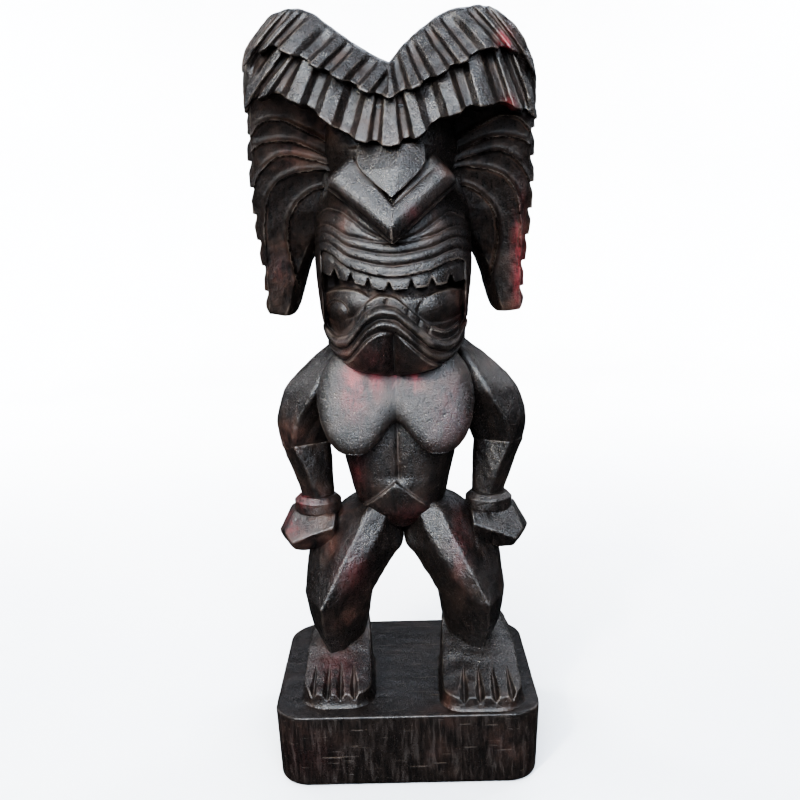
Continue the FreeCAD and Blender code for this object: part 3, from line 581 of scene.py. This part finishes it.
def face_marks(u, z):
    """How deep the face is cut at each place; below 0 the wood stands proud."""
    fold_pitch = 17.0
    near_fold = 14.0  # turns a share of a fold into a distance, roughly
    h = z - bite
    lip = curve(u, LIP_EDGE)
    gap = curve(u, [(-90, 11), (-40, 13.5), (0, 14)])
    cut = 0
    for line in (1, 2, 3):
        cut = cut + groove(h - lip - line * gap, 4.5, 2.2)
    cut = cut + groove(h - curve(u, NOSE_FOLD), 4.5, 2.6)
    cut = cut - 1.8

    # lower lip and the folds that run parallel below it
    lower = curve(u, LOWER_LIP)
    fold = (lower - h) / fold_pitch
    height = curve(fold, [(-0.5, 5.4), (0.5, 5.2), (1.0, 4.6), (1.5, 3.6), (1.9, 0.0)])
    rolls = -height * (1.7 * np.abs(np.cos(math.pi * fold)) - 0.8)
    lobes = 6.0 * np.exp(-(((np.abs(u + 2) - 36) / 24) ** 2))
    chin = (groove(u + 2, 9.0, 13.0) + groove(u + 2, 7.0, 3.0) - lobes) * ramp(fold - 1.5, 0.6)
    below_lip = ramp((fold + 0.5) * near_fold, 2.0)
    cut = mix(cut, rolls + chin, below_lip)

    # the open mouth, then what stands inside it
    side_rim = 91.0 - np.abs(u)
    opening = np.minimum(np.minimum(lip - h, -(fold + 0.5) * near_fold), side_rim)
    cut = mix(cut, 12.0 + 12.0 * ramp(h + 10.0, 20.0), ramp(opening, 2.0))
    cheek_left = 1 - np.hypot((u + 68) / 36, (h + 22 - 0.12 * (u + 62)) / 20)
    cheek_right = 1 - np.hypot((u - 66) / 38, (h + 27 - 0.12 * (u - 62)) / 21)
    ball = 1 - np.hypot(u + 74, h + 32) / 15
    for cheek, depth in ((cheek_left, 8.0), (cheek_right, 8.0), (ball, 6.5)):
        dome = depth + 6.0 * (1 - np.clip(cheek, 0, 1)) ** 2
        cut = mix(cut, dome, ramp(np.minimum(cheek * near_fold, opening), 2.0))
    low_teeth = np.minimum(np.minimum((fold + 1.15) * near_fold, opening), np.minimum(u + 50, 84 - u))
    cusp = 7.0
    for middle in LOWER_TOOTH_GAPS:
        cusp = cusp + groove(u - middle - 0.35 * (h + 12), 4.0, 1.6)
    cut = mix(cut, cusp, ramp(low_teeth, 2.0))
    teeth_low = curve(u, TEETH_EDGE)
    gap_height = 11.0
    teeth = np.minimum(opening, h - teeth_low)
    enamel = 4.0 + 1.5 * ramp(h - lip + 7.0, 7.0)
    for middle in TOOTH_GAPS:
        tip = teeth_low + gap_height
        half = 4.4 * (tip - h) / gap_height
        teeth = np.minimum(teeth, np.abs(u - middle) - half)
        enamel = enamel + groove(u - middle, 1.2, 4.0)
    cut = mix(cut, enamel, ramp(teeth, 1.6))
    return cut * (1 - 0.6 * ramp(np.abs(u) - 84.0, 20.0))


def head_shape(x, y, z):
    """The barrel of the head with the face cut into its front."""
    u = x - head_axis
    chin, top = head_low[2], head_high[2]
    wide = (head_high[0] - head_low[0]) / 2
    front, back = jaw_low[1], head_high[1]
    width = curve(z, [
        (chin, 0.12 * wide), (chin + 5, 0.36 * wide), (chin + 11, 0.60 * wide), (chin + 29, 0.81 * wide),
        (chin + 48, 0.91 * wide), (chin + 88, 0.975 * wide), (chin + 160, 1.03 * wide),
        (chin + 210, 1.01 * wide), (chin + 268, 0.93 * wide), (top, 0.80 * wide),
    ])
    face = curve(z, [
        (chin, 0.72 * front), (chin + 14, 0.84 * front), (chin + 48, 0.95 * front),
        (chin + 95, 1.02 * front), (chin + 150, 1.0 * front), (chin + 205, 0.92 * front),
        (chin + 240, 0.80 * front), (chin + 280, 0.78 * front), (top, 0.86 * front),
    ])
    nape = curve(z, [
        (chin, -0.3 * back), (chin + 34, 0.6 * back), (chin + 88, 0.98 * back), (chin + 208, back),
        (top, 0.9 * back),
    ])
    core = barrel(u, y - (face + nape) / 2, width, (nape - face) / 2, 2.35)
    # the cuts fade out on the flanks; the eye sockets are hollow and the brow between them stands out
    toward_front = ramp(-42.0 - y, 20.0)
    socket = 15.0 * np.exp(-(((np.abs(u) - 78) / 22) ** 2) - ((z - bite - 128) / 36) ** 2)
    brow = 17.0 * np.exp(-((u / 44) ** 2)) * ramp(z - chin - 214.0, 16.0) * ramp(hairline + 2.0 - z, 8.0)
    return core + (face_marks(u, z) + socket - brow) * toward_front


def bite_line(x):
    """Height where the jaw block meets the head block."""
    return bite - 9.0 * np.clip(np.abs(x - head_axis) / 90.0, 0, 1)


def head_field():
    """The head without the room that the jaw block takes."""
    def field(x, y, z):
        jaw_room = np.maximum(y - jaw_high[1], z - bite_line(x))
        return np.maximum(np.maximum(head_shape(x, y, z), -jaw_room), z - head_high[2])

    return field


def jaw_field():
    """The part of the head below the bite and in front of the throat."""
    def field(x, y, z):
        room = np.maximum(y - jaw_high[1] - SEAM, z - bite_line(x) - SEAM)
        return both(np.maximum(head_shape(x, y, z), room), jaw_low[2] - z, 4.0)

    return field


def nose_field():
    """Two heavy bars that meet in a V at the tip, with a wedge of brow between them."""
    low, high = box("nose_block")
    axis = (low[0] + high[0]) / 2
    wide = (high[0] - low[0]) / 2
    root_x, root_z = 0.83 * wide, high[2] - 27.0
    tip_x, tip_z = 4.0, low[2] + 19.0
    length = math.hypot(root_x - tip_x, root_z - tip_z)
    along_x, along_z = (tip_x - root_x) / length, (tip_z - root_z) / length

    def field(x, y, z):
        # along runs down each bar toward the tip and over is the height above the bar's middle line
        a = np.abs(x - axis)
        along = (a - root_x) * along_x + (z - root_z) * along_z
        over = (a - root_x) * along_z - (z - root_z) * along_x
        ridge = low[1] + 34.0 - 32.0 * np.clip(along / (length + 8.0), -0.2, 1)
        # each bar has a keel below its middle line, and its face falls back on both sides of the keel
        right = x > axis
        from_keel = over + np.where(right, 2.0, 7.0)
        upper, lower = np.where(right, 0.7, 0.5), np.where(right, 0.75, 1.0)
        round_off = np.hypot(from_keel, 8.0) - 8.0
        front = ridge + np.where(from_keel > 0, upper, lower) * round_off
        brow_edge = over - 14.0 - 13.0 * np.clip(1 - along / length, 0, 1.2)
        bar = both(both(brow_edge, -over - 18.0, 6.0), front - y, 4.0)
        bar = both(bar, -along - 14.0, 10.0)
        bar = bar + groove(over - 13.0, 2.5, 1.6) * right * ramp(along - 5.0, 16.0)
        # a thin rim runs under each bar, and the brow comes down between them as a wedge with a ridge
        hem = both(np.abs(over + 19.0) - 3.5, front + 6.0 - y, 2.0)
        hem = np.maximum(hem, -along - 8.0)
        ridge_x = axis + 0.25 * (z - low[2] - 50.0)
        wedge_front = low[1] + 9.0 + 0.22 * (z - tip_z) + 0.30 * (np.hypot(x - ridge_x, 6.0) - 6.0)
        wedge_front = wedge_front + 0.35 * np.maximum(z - high[2] + 18.0, 0)
        wedge = np.maximum(both(a - 1.15 * (z - low[2] - 42.0), a - 42.0, 12.0), wedge_front - y)
        nose = np.minimum(np.minimum(bar, hem), wedge)
        return np.maximum(nose, y - high[1] - 8.0)

    return field


# ------------------------ hair wings

# Middle of the locks' sweep around the eye: out from the middle of the face, and above the bite.
SWEEP_OUT, SWEEP_UP = 100.0, 69.0
# The carved locks of a wing, from the inner to the outer: (angle from straight up in degrees, growing
# outward; distance from the middle of the sweep).
LOCKS = [
    [(-25, 60), (4, 50), (26, 43), (55, 38), (84, 36), (123, 43), (145, 56), (165, 84)],
    [(-25, 80), (6, 76), (34, 78), (47, 76), (59, 72), (80, 67), (100, 68), (121, 78), (140, 104),
     (152, 140)],
    [(-25, 82), (5, 91), (16, 99), (27, 104), (43, 101), (60, 94), (90, 90), (120, 100), (150, 170)],
    [(-25, 85), (1, 103), (11, 113), (22, 122), (34, 128), (60, 116), (90, 104), (120, 120), (150, 200)],
    [(-25, 96), (-3, 118), (8, 131), (16, 144), (24, 149), (34, 142), (60, 130), (90, 125), (150, 240)],
    [(-25, 120), (0, 145), (16, 168), (30, 180), (60, 170), (90, 160), (150, 260)],
]


def lock_relief(a, z):
    """How deep the front of a wing is cut: each lock starts deep under the edge of the next one out and
    comes forward to its own edge."""
    across, up = a - SWEEP_OUT, z - (bite + SWEEP_UP)
    angle = np.degrees(np.arctan2(across, up))
    reach = np.hypot(across, up)
    edges = [curve(angle, lock) for lock in LOCKS]
    depth = np.clip(12.0 - 0.2 * up, 7.0, 19.0)
    for near, far in zip(edges, edges[1:]):
        back_from_edge = reach - near
        fall = np.minimum(13.0, 0.75 * np.maximum(far - near, 1.0))
        hollow = fall * (1 - np.exp(-back_from_edge / 4.0)) - 0.24 * np.clip(back_from_edge - 8.0, 0, 32)
        depth = np.where(reach > near, hollow, depth)
    return depth


def wing_field(side):
    """A slab of hair beside the face: locks carved in its front, steps down its flank and its back."""
    low, high = box(f"ear_wing_{side}")
    tip = low[2]
    shingle_height = 34.0

    def field(x, y, z):
        a = (x - head_axis) * SIDES[side]
        outer = curve(z, [(tip, 163), (tip + 14, 166), (tip + 52, 167), (tip + 100, 172), (tip + 135, 176),
                          (tip + 220, 179), (tip + 300, 176)])
        inner = curve(z, [(tip, 137), (tip + 16, 130), (tip + 50, 121), (tip + 86, 106), (tip + 120, 88),
                          (tip + 175, 66)])
        shingle = ((z - tip) / shingle_height) % 1.0
        back_edge = ramp(y + 42.0, 12.0)
        outside = a - outer - back_edge * (7.5 - 5.0 * ramp(shingle - 0.7, 0.5))
        plan = both(outside, inner - a, 1.0)
        chamfer = 1.15 * np.maximum(0, 11.0 - (a - inner)) * ramp(bite + 55.0 - z, 30.0)
        front = low[1] + 2.0 + 0.10 * np.maximum(170 - a, 0) + 9.0 * np.maximum(0, (a - 165) / 20) ** 2
        front = front + lock_relief(a, z) + chamfer + 0.15 * (high[2] - z)
        back = high[1] - 8.0 + 7.0 * (1 - shingle) - 0.12 * (tip + 140 - z) * (z < tip + 140)
        shape = both(plan, front - y, 1.5)
        shape = both(shape, y - back, 10.0)
        shape = both(shape, tip - z + 0.12 * (a - 150), 4.0)
        return np.maximum(shape, z - tier_edge("lower", side, a) - TUCK)

    return field


# ------------------------ crest

def pleats(q, pitch, depth, seed):
    """Cut between flat-faced pleats laid side by side; q is measured across them."""
    rng = np.random.default_rng(seed)
    for size in (1.9, 3.3):
        q = q + 0.06 * pitch * np.sin(q * 2 * math.pi / (pitch * size) + rng.uniform(0, 6))
    place = np.abs(q / pitch - np.round(q / pitch))
    return depth * np.clip((place - 0.18) / 0.2, 0, 1)


# Lower edge of each tier: (distance from the middle, height above the tier's lowest point).
TIER_EDGES = {
    ("lower", "left"): [(0, 0), (24, 4), (55, 14), (82, 35), (111, 53), (145, 65), (170, 60), (188, 50)],
    ("lower", "right"): [(0, 0), (31, 9), (51, 23), (80, 37), (110, 45), (135, 48), (166, 42), (188, 34)],
    ("upper", "left"): [(0, 0), (19, 4), (48, 18), (80, 34), (117, 54), (145, 64), (169, 57), (188, 42)],
    ("upper", "right"): [(0, 0), (36, 14), (69, 31), (98, 45), (125, 58), (150, 56), (168, 48), (188, 22)],
}
# Outline of the crest's top: (distance from the middle, height below the highest point).
CROWNS = {
    "left": [(0, 67), (36, 48), (72, 21), (97, 4), (115, 0), (140, 4), (159, 21), (179, 42), (190, 62)],
    "right": [(0, 67), (20, 44), (46, 21), (71, 6), (102, 0), (127, 3), (145, 14), (164, 32), (180, 58),
              (190, 82)],
}
# How far the pleats lean toward the middle as they rise, along the lower edge.
LEANS = {
    ("lower", "left"): [(0, 0.0), (50, 0.3), (110, 0.4), (160, 0.9)],
    ("lower", "right"): [(0, 0.0), (50, 0.3), (120, 0.25), (170, 0.4)],
    ("upper", "left"): [(0, 0.65), (40, 0.85), (110, 0.95)],
    ("upper", "right"): [(0, 0.1), (60, 0.5), (130, 0.8)],
}


def tier_edge(tier, side, a):
    """Height of a tier's lower edge at a distance from the middle."""
    low, _ = box(f"crest_{tier}_{side}")
    return low[2] + curve(np.abs(a), TIER_EDGES[tier, side])


def pleat_foot(tier, side, a, z):
    """Where on the lower edge the pleat that passes through a place ends."""
    foot = np.abs(a) + 0 * z
    for _ in range(9):
        lean = curve(foot, LEANS[tier, side])
        foot = 0.5 * (foot + np.abs(a) + lean * (z - tier_edge(tier, side, foot)))
    return foot


def half_tier(whole, side):
    """The half of a tier on one side of the middle."""
    return lambda x, y, z: np.maximum(whole(x, y, z), (head_axis - x) * SIDES[side] - SEAM)


def tier_shape(tier, side):
    """One tier of the crest as one side of it is carved: pleated hair, flaring toward its lower edge."""
    low, high = box(f"crest_{tier}_{side}")
    top = box(f"crest_upper_{side}")[1][2]
    upper = tier == "upper"
    half_width = (high[0] - low[0]) - 1.0
    front, flare, pitch, cut_depth = -low[1], 0.45, 39.0, 10.0
    if upper:
        front, flare, pitch, cut_depth = -low[1] - 1.0, 0.72, 31.0, 9.0

    def field(x, y, z):
        a = (x - head_axis) * SIDES[side]
        edge = tier_edge(tier, side, a)
        crown = top - curve(np.abs(a), CROWNS[side])
        up = np.clip(z - edge, -6, 110)
        deep = np.where(y < 0, front, high[1]) - flare * up
        wall = barrel(a, y, half_width + 14.0, deep, 2.3)
        cut = pleats(pleat_foot(tier, side, a, z), pitch, cut_depth, 5 + upper)
        cut = cut * (1 - 0.65 * ramp(z - crown + 14.0, 26.0))
        side_cut = pleats(y + 0.35 * z, 0.7 * pitch, 0.8 * cut_depth, 7 + upper)
        cut = mix(cut, side_cut, ramp(np.abs(a) - half_width + 14.0, 10.0))
        wall = both(wall + cut, np.abs(a) - half_width + 0.6 * cut, 9.0)
        if upper:
            body = both(wall, z - crown + 0.12 * np.maximum(y + 70.0, 0), 5.0)
        else:
            body = np.maximum(wall, z - tier_edge("upper", side, a) - TUCK)
        return both(body, edge + 0.5 * cut - z, 1.5)

    return field


# ------------------------ materials

def feed(tree, value, socket):
    """Links another node's output to an input, or sets the input to a plain value."""
    if isinstance(value, bpy.types.NodeSocket):
        tree.links.new(value, socket)
    else:
        socket.default_value = value


def node(tree, kind, **inputs):
    """A shader node with its inputs fed; an underscore stands for the space in an input's name."""
    made = tree.nodes.new(kind)
    for name, value in inputs.items():
        feed(tree, value, made.inputs[name.replace("_", " ")])
    return made


def blank(name):
    """A new material with an empty node tree."""
    material = bpy.data.materials.new(name)
    material.use_nodes = True
    tree = material.node_tree
    tree.nodes.clear()
    return material, tree


def noise(tree, place, scale, detail=4.0, roughness=0.55, distortion=0.0):
    """Smooth random values from 0 to 1, mostly near 0.5."""
    made = node(tree, "ShaderNodeTexNoise", Vector=place, Scale=scale, Detail=detail, Roughness=roughness,
                Distortion=distortion)
    return made.outputs["Fac"]


def fit(tree, value, low, high, to_low=0.0, to_high=1.0):
    """Maps a range of a value onto another range, smoothly and without going past its ends."""
    made = node(tree, "ShaderNodeMapRange")
    made.interpolation_type = "SMOOTHSTEP"
    tree.links.new(value, made.inputs["Value"])
    for name, number in (("From Min", low), ("From Max", high), ("To Min", to_low), ("To Max", to_high)):
        made.inputs[name].default_value = number
    return made.outputs["Result"]


def math_node(tree, operation, a, b=0.0):
    """One sum on two values."""
    made = tree.nodes.new("ShaderNodeMath")
    made.operation = operation
    for socket, value in zip(made.inputs, (a, b)):
        feed(tree, value, socket)
    return made.outputs["Value"]


def blend(tree, amount, a, b):
    """The second colour laid over the first, each a socket or (red, green, blue)."""
    made = tree.nodes.new("ShaderNodeMix")
    made.data_type = "RGBA"
    factor, colours, result = 0, (6, 7), 2  # where this kind of mix keeps its sockets
    tree.links.new(amount, made.inputs[factor])
    for place, colour in zip(colours, (a, b)):
        feed(tree, (*colour, 1.0) if isinstance(colour, tuple) else colour, made.inputs[place])
    return made.outputs[result]


def painted(tree, name):
    """A value carried by the mesh."""
    made = tree.nodes.new("ShaderNodeAttribute")
    made.attribute_name = name
    return made.outputs["Fac"]


def coat(tree, colour, rough, **inputs):
    """The material's one surface shader."""
    shader = node(tree, "ShaderNodeBsdfPrincipled", Base_Color=colour, Roughness=rough, **inputs)
    node(tree, "ShaderNodeOutputMaterial", Surface=shader.outputs["BSDF"])


# Colours of the stained wood: red, green and blue, linear.
STAIN = {
    "dark_grain": (0.004, 0.0035, 0.0033), "light_grain": (0.013, 0.009, 0.0075),
    "dusty_grain": (0.021, 0.018, 0.0165), "thin": (0.052, 0.030, 0.021), "red": (0.23, 0.022, 0.032),
    # The worn edge colour also paints a highlight on edges, and the dirt colours also paint shade into
    # hollows.
    "worn_edge_and_highlight": (0.13, 0.108, 0.090), "scratch": (0.08, 0.06, 0.045),
    "black_dirt_and_shade": (0.005, 0.004, 0.0035), "brown_dirt_and_shade": (0.030, 0.017, 0.012),
}


def stained_wood(name, red_amount, scuffs, gloss_level):
    """Carved wood under a near-black stain: brown or red where it is thin, pale on edges, partly from wear
    and partly as a painted highlight, and darker in hollows, partly from dirt and partly as painted shade.
    The red amount scales the red patches, scuffs go from 0 to 1 and the last argument sets how much the
    surface mirrors."""
    material, tree = blank(name)
    place = node(tree, "ShaderNodeTexCoord").outputs["Object"]
    along_grain = node(tree, "ShaderNodeMapping", Vector=place, Scale=(1.0, 1.0, 0.14)).outputs["Vector"]
    grain = noise(tree, along_grain, 190.0, 6.0, 0.65, 0.4)
    speckle = noise(tree, place, 430.0, 3.0, 0.7)
    cloud = noise(tree, place, 9.0, 5.0)
    patch = noise(tree, place, 34.0, 6.0, 0.65)

    def times(a, b):
        return math_node(tree, "MULTIPLY", a, b)

    def plus(a, b):
        return math_node(tree, "ADD", a, b)

    colour = blend(tree, fit(tree, grain, 0.3, 0.75), STAIN["dark_grain"], STAIN["light_grain"])
    colour = blend(tree, times(fit(tree, grain, 0.5, 0.7), scuffs), colour, STAIN["dusty_grain"])
    thin = times(fit(tree, cloud, 0.45, 0.75), fit(tree, patch, 0.4, 0.65))
    colour = blend(tree, times(thin, 0.7 - 0.45 * scuffs), colour, STAIN["thin"])
    streak = fit(tree, plus(times(grain, 0.5), times(patch, 0.5)), 0.36, 0.6)
    red = times(plus(painted(tree, "red_stain"), fit(tree, cloud, 0.55, 0.8, 0.0, 0.10)), streak)
    colour = blend(tree, times(red, red_amount), colour, STAIN["red"])

    # Edges are lightened: partly wear and partly a painted highlight along them.
    edge = times(fit(tree, painted(tree, "fine_bulge"), 0.07, 0.26), fit(tree, patch, 0.40, 0.62))
    colour = blend(tree, times(edge, 0.3), colour, STAIN["worn_edge_and_highlight"])
    # Hollows and deep recesses are darkened toward near-black: partly dirt that settles there, partly
    # painted shade.
    hollow = fit(tree, painted(tree, "fine_bulge"), -0.05, -0.26)
    deep = fit(tree, painted(tree, "broad_bulge"), -0.10, -0.40)
    shade = math_node(tree, "MAXIMUM", hollow, deep)
    dirt_and_shade_colour = blend(tree, fit(tree, patch, 0.35, 0.65), STAIN["black_dirt_and_shade"], STAIN["brown_dirt_and_shade"])
    colour = blend(tree, times(shade, 0.85), colour, dirt_and_shade_colour)

    height = plus(times(speckle, 2.4 - 1.4 * scuffs), times(grain, 0.9))
    height = plus(height, times(noise(tree, place, 62.0, 2.0), 0.25))
    if scuffs:
        brushed = node(tree, "ShaderNodeMapping", Vector=place, Rotation=(0.2, 0.1, 0.5),
                       Scale=(1.0, 14.0, 14.0))
        scratch = fit(tree, noise(tree, brushed.outputs["Vector"], 16.0, 4.0, 0.6), 0.62, 0.70)
        height = math_node(tree, "SUBTRACT", height, times(scratch, 0.6))
        colour = blend(tree, times(scratch, 0.4), colour, STAIN["scratch"])
    bump = node(tree, "ShaderNodeBump", Height=height, Strength=1.0, Distance=0.00045)

    rough = plus(fit(tree, speckle, 0.3, 0.7, 0.24, 0.38), fit(tree, cloud, 0.35, 0.65, -0.02, 0.04))
    rough = plus(rough, times(shade, 0.3))
    coat(tree, colour, rough, Normal=bump.outputs["Normal"], Specular_IOR_Level=gloss_level)
    return material


def bare_wood(name):
    """Unstained hardwood with fine grain along its length."""
    material, tree = blank(name)
    place = node(tree, "ShaderNodeTexCoord").outputs["Object"]
    grain_place = node(tree, "ShaderNodeMapping", Vector=place, Scale=(1.0, 1.0, 0.1)).outputs["Vector"]
    grain = noise(tree, grain_place, 300.0, 6.0, 0.6, 0.5)
    colour = blend(tree, fit(tree, grain, 0.3, 0.7), (0.30, 0.19, 0.10), (0.46, 0.32, 0.19))
    rough = fit(tree, grain, 0.3, 0.7, 0.5, 0.65)
    bump = node(tree, "ShaderNodeBump", Height=grain, Strength=0.4, Distance=0.0005)
    coat(tree, colour, rough, Normal=bump.outputs["Normal"])
    return material


def paper(name, shade):
    """Matt white paper for the floor and the backdrop."""
    material, tree = blank(name)
    place = node(tree, "ShaderNodeTexCoord").outputs["Object"]
    tone = noise(tree, place, 3.0, 2.0)
    cooler = (shade * 0.98, shade * 0.98, shade)
    colour = blend(tree, fit(tree, tone, 0.3, 0.7), (shade, shade, shade), cooler)
    coat(tree, colour, 0.9)
    return material


# ------------------------ pieces

def build_pieces():
    """One carved mesh for every block, and bare wood on the dowels, which stay as they are."""
    figure = stained_wood("stained_figure_wood", 0.8, 0.0, 0.55)
    # The wings get a copy of the figure wood with far less gloss, so they read darker: painted shade for
    # the recess they sit in.
    wing = stained_wood("stained_wing_wood_dulled_for_shade", 0.6, 0.0, 0.16)
    base = stained_wood("stained_plinth_wood", 0.25, 1.0, 0.35)
    carve("plinth", base, plinth_field(), 2.3, wobble=0.12)
    for block, field, skin, step in (
        ("belly", belly_field(), trunk_shape, 1.9),
        ("torso", torso_field(), trunk_shape, 2.2),
        ("chest_plate", chest_field(), None, 1.7),
        ("head_block", head_field(), head_shape, 1.95),
        ("jaw_block", jaw_field(), head_shape, 1.4),
        ("nose_block", nose_field(), None, 1.3),
    ):
        carve(block, figure, field, step, margin=10.0, wobble=0.25, skin=skin)
    for side in SIDES:
        for name, field, step in (
            ("foot", foot_field(side), 1.5),
            ("leg", leg_field(side), 1.8),
            ("upper_arm", upper_arm_field(side), 1.8),
            ("forearm", forearm_field(side), 1.5),
            ("hand", hand_field(side), 1.3),
            ("wristband", wristband_field(side), 1.3),
        ):
            carve(f"{name}_{side}", figure, field, step, margin=9.0)
        carve(f"ear_wing_{side}", wing, wing_field(side), 1.7, margin=9.0)
        for tier in ("lower", "upper"):
            whole = tier_shape(tier, side)
            half = half_tier(whole, side)
            carve(f"crest_{tier}_{side}", figure, half, 1.7, skin=whole)
    dowel = bare_wood("bare_dowel_wood")
    for name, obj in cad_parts.items():
        if "dowel" in name:
            for slot in obj.material_slots:
                slot.material = dowel


# ------------------------ stage

def sheet(name, points, faces, material):
    """A smooth sheet that belongs to the stage."""
    mesh = bpy.data.meshes.new(name)
    mesh.from_pydata(points, [], faces)
    mesh.polygons.foreach_set("use_smooth", [True] * len(faces))
    mesh.materials.append(material)
    obj = bpy.data.objects.new(name, mesh)
    bpy.context.scene.collection.objects.link(obj)
    return obj


def build_sweep(radius, height, bend):
    """A round floor that curves up into a wall all round, as one sheet."""
    turns, bend_steps = 96, 12
    profile = [(radius * share, 0.0) for share in (0.125, 0.25, 0.375, 0.5, 0.625, 0.75)]
    for i in range(bend_steps + 1):
        angle = math.radians(90 * i / bend_steps)
        profile.append((radius - bend + bend * math.sin(angle), bend - bend * math.cos(angle)))
    profile.append((radius, height))
    points = [(0.0, 0.0, 0.0)]
    for out, up in profile:
        for turn in range(turns):
            angle = 2 * math.pi * turn / turns
            points.append((out * math.cos(angle), out * math.sin(angle), up))
    faces = [(0, 1 + turn, 1 + (turn + 1) % turns) for turn in range(turns)]
    for ring in range(len(profile) - 1):
        start = 1 + ring * turns
        for turn in range(turns):
            after = (turn + 1) % turns
            faces.append((start + turn, start + turns + turn, start + turns + after, start + after))
    sweep = sheet("sweep", points, faces, paper("white_paper", 0.7))
    sweep.visible_glossy = False  # the dark gloss mirrors the softboxes alone, as it does the sky outdoors


def add_light(name, place, target, size, radiance, colour, beam=180):
    """A softbox that faces its target. The radiance is that of its surface; the beam is in degrees."""
    data = bpy.data.lights.new(name, "AREA")
    data.shape = "RECTANGLE"
    data.size, data.size_y = size
    data.energy = radiance * math.pi * size[0] * size[1]
    data.color = colour
    data.spread = math.radians(beam)
    obj = bpy.data.objects.new(name, data)
    obj.location = place
    obj.rotation_euler = (Vector(target) - Vector(place)).to_track_quat("-Z", "Y").to_euler()
    obj.visible_camera = False
    bpy.context.scene.collection.objects.link(obj)


def build_lights(tall):
    """A wide cool softbox in front like an open sky, one overhead, one high behind, one at each side, a
    small warm key from the left, and two lamps that whiten the backdrop."""
    middle = (0, 0, 0.55 * tall)
    cool, warm, white = (0.80, 0.88, 1.0), (1.0, 0.90, 0.70), (1.0, 1.0, 1.0)
    add_light("sky", (-0.4, -3.0, 2.3), middle, (3.6, 2.0), 19.0, (0.80, 0.89, 1.0))
    add_light("overhead", (-0.2, -0.6, 2.7), middle, (1.6, 1.2), 1.4, cool, 90)
    add_light("behind", (0.5, 2.3, 3.0), middle, (3.2, 1.2), 6.0, cool)
    for side in SIDES.values():
        add_light("beside", (2.9 * side, 1.2, 1.7), middle, (1.4, 1.8), 1.8, cool)
    add_light("key", (-1.2, -2.3, 2.1), middle, (0.24, 0.24), 430.0, warm)
    for place in ((-2.6, 1.6, 2.4), (2.6, 1.6, 2.4)):
        add_light("backdrop_lamp", place, (0.3 * place[0], 3.2, 0.8), (1.2, 1.2), 42.0, white, 130)
    world = bpy.data.worlds.new("room")
    world.use_nodes = True
    background = world.node_tree.nodes["Background"]
    background.inputs["Color"].default_value = (0.86, 0.92, 1.0, 1.0)
    background.inputs["Strength"].default_value = 0.05
    bpy.context.scene.world = world


def build_camera():
    """A camera level with the nose, looking a little down and rolled slightly to one side."""
    data = bpy.data.cameras.new("camera")
    data.lens = 43.9
    data.sensor_width = 36.0
    place = (-0.0015, -1.340, 0.7754)
    looks_down, rolls = 11.48, -1.25  # in degrees
    camera = bpy.data.objects.new("camera", data)
    turn = Matrix.Rotation(math.radians(90 - looks_down), 4, "X")
    turn = turn @ Matrix.Rotation(math.radians(rolls), 4, "Z")
    camera.matrix_world = Matrix.Translation(place) @ turn
    bpy.context.scene.collection.objects.link(camera)
    bpy.context.scene.camera = camera


build_pieces()
build_sweep(radius=4.2, height=5.0, bend=1.0)
build_lights(cad_size[1][2])
build_camera()
# Dark waxed wood has deep blacks beside bright gloss, which a high-contrast view keeps apart.
bpy.context.scene.view_settings.look = "AgX - High Contrast"
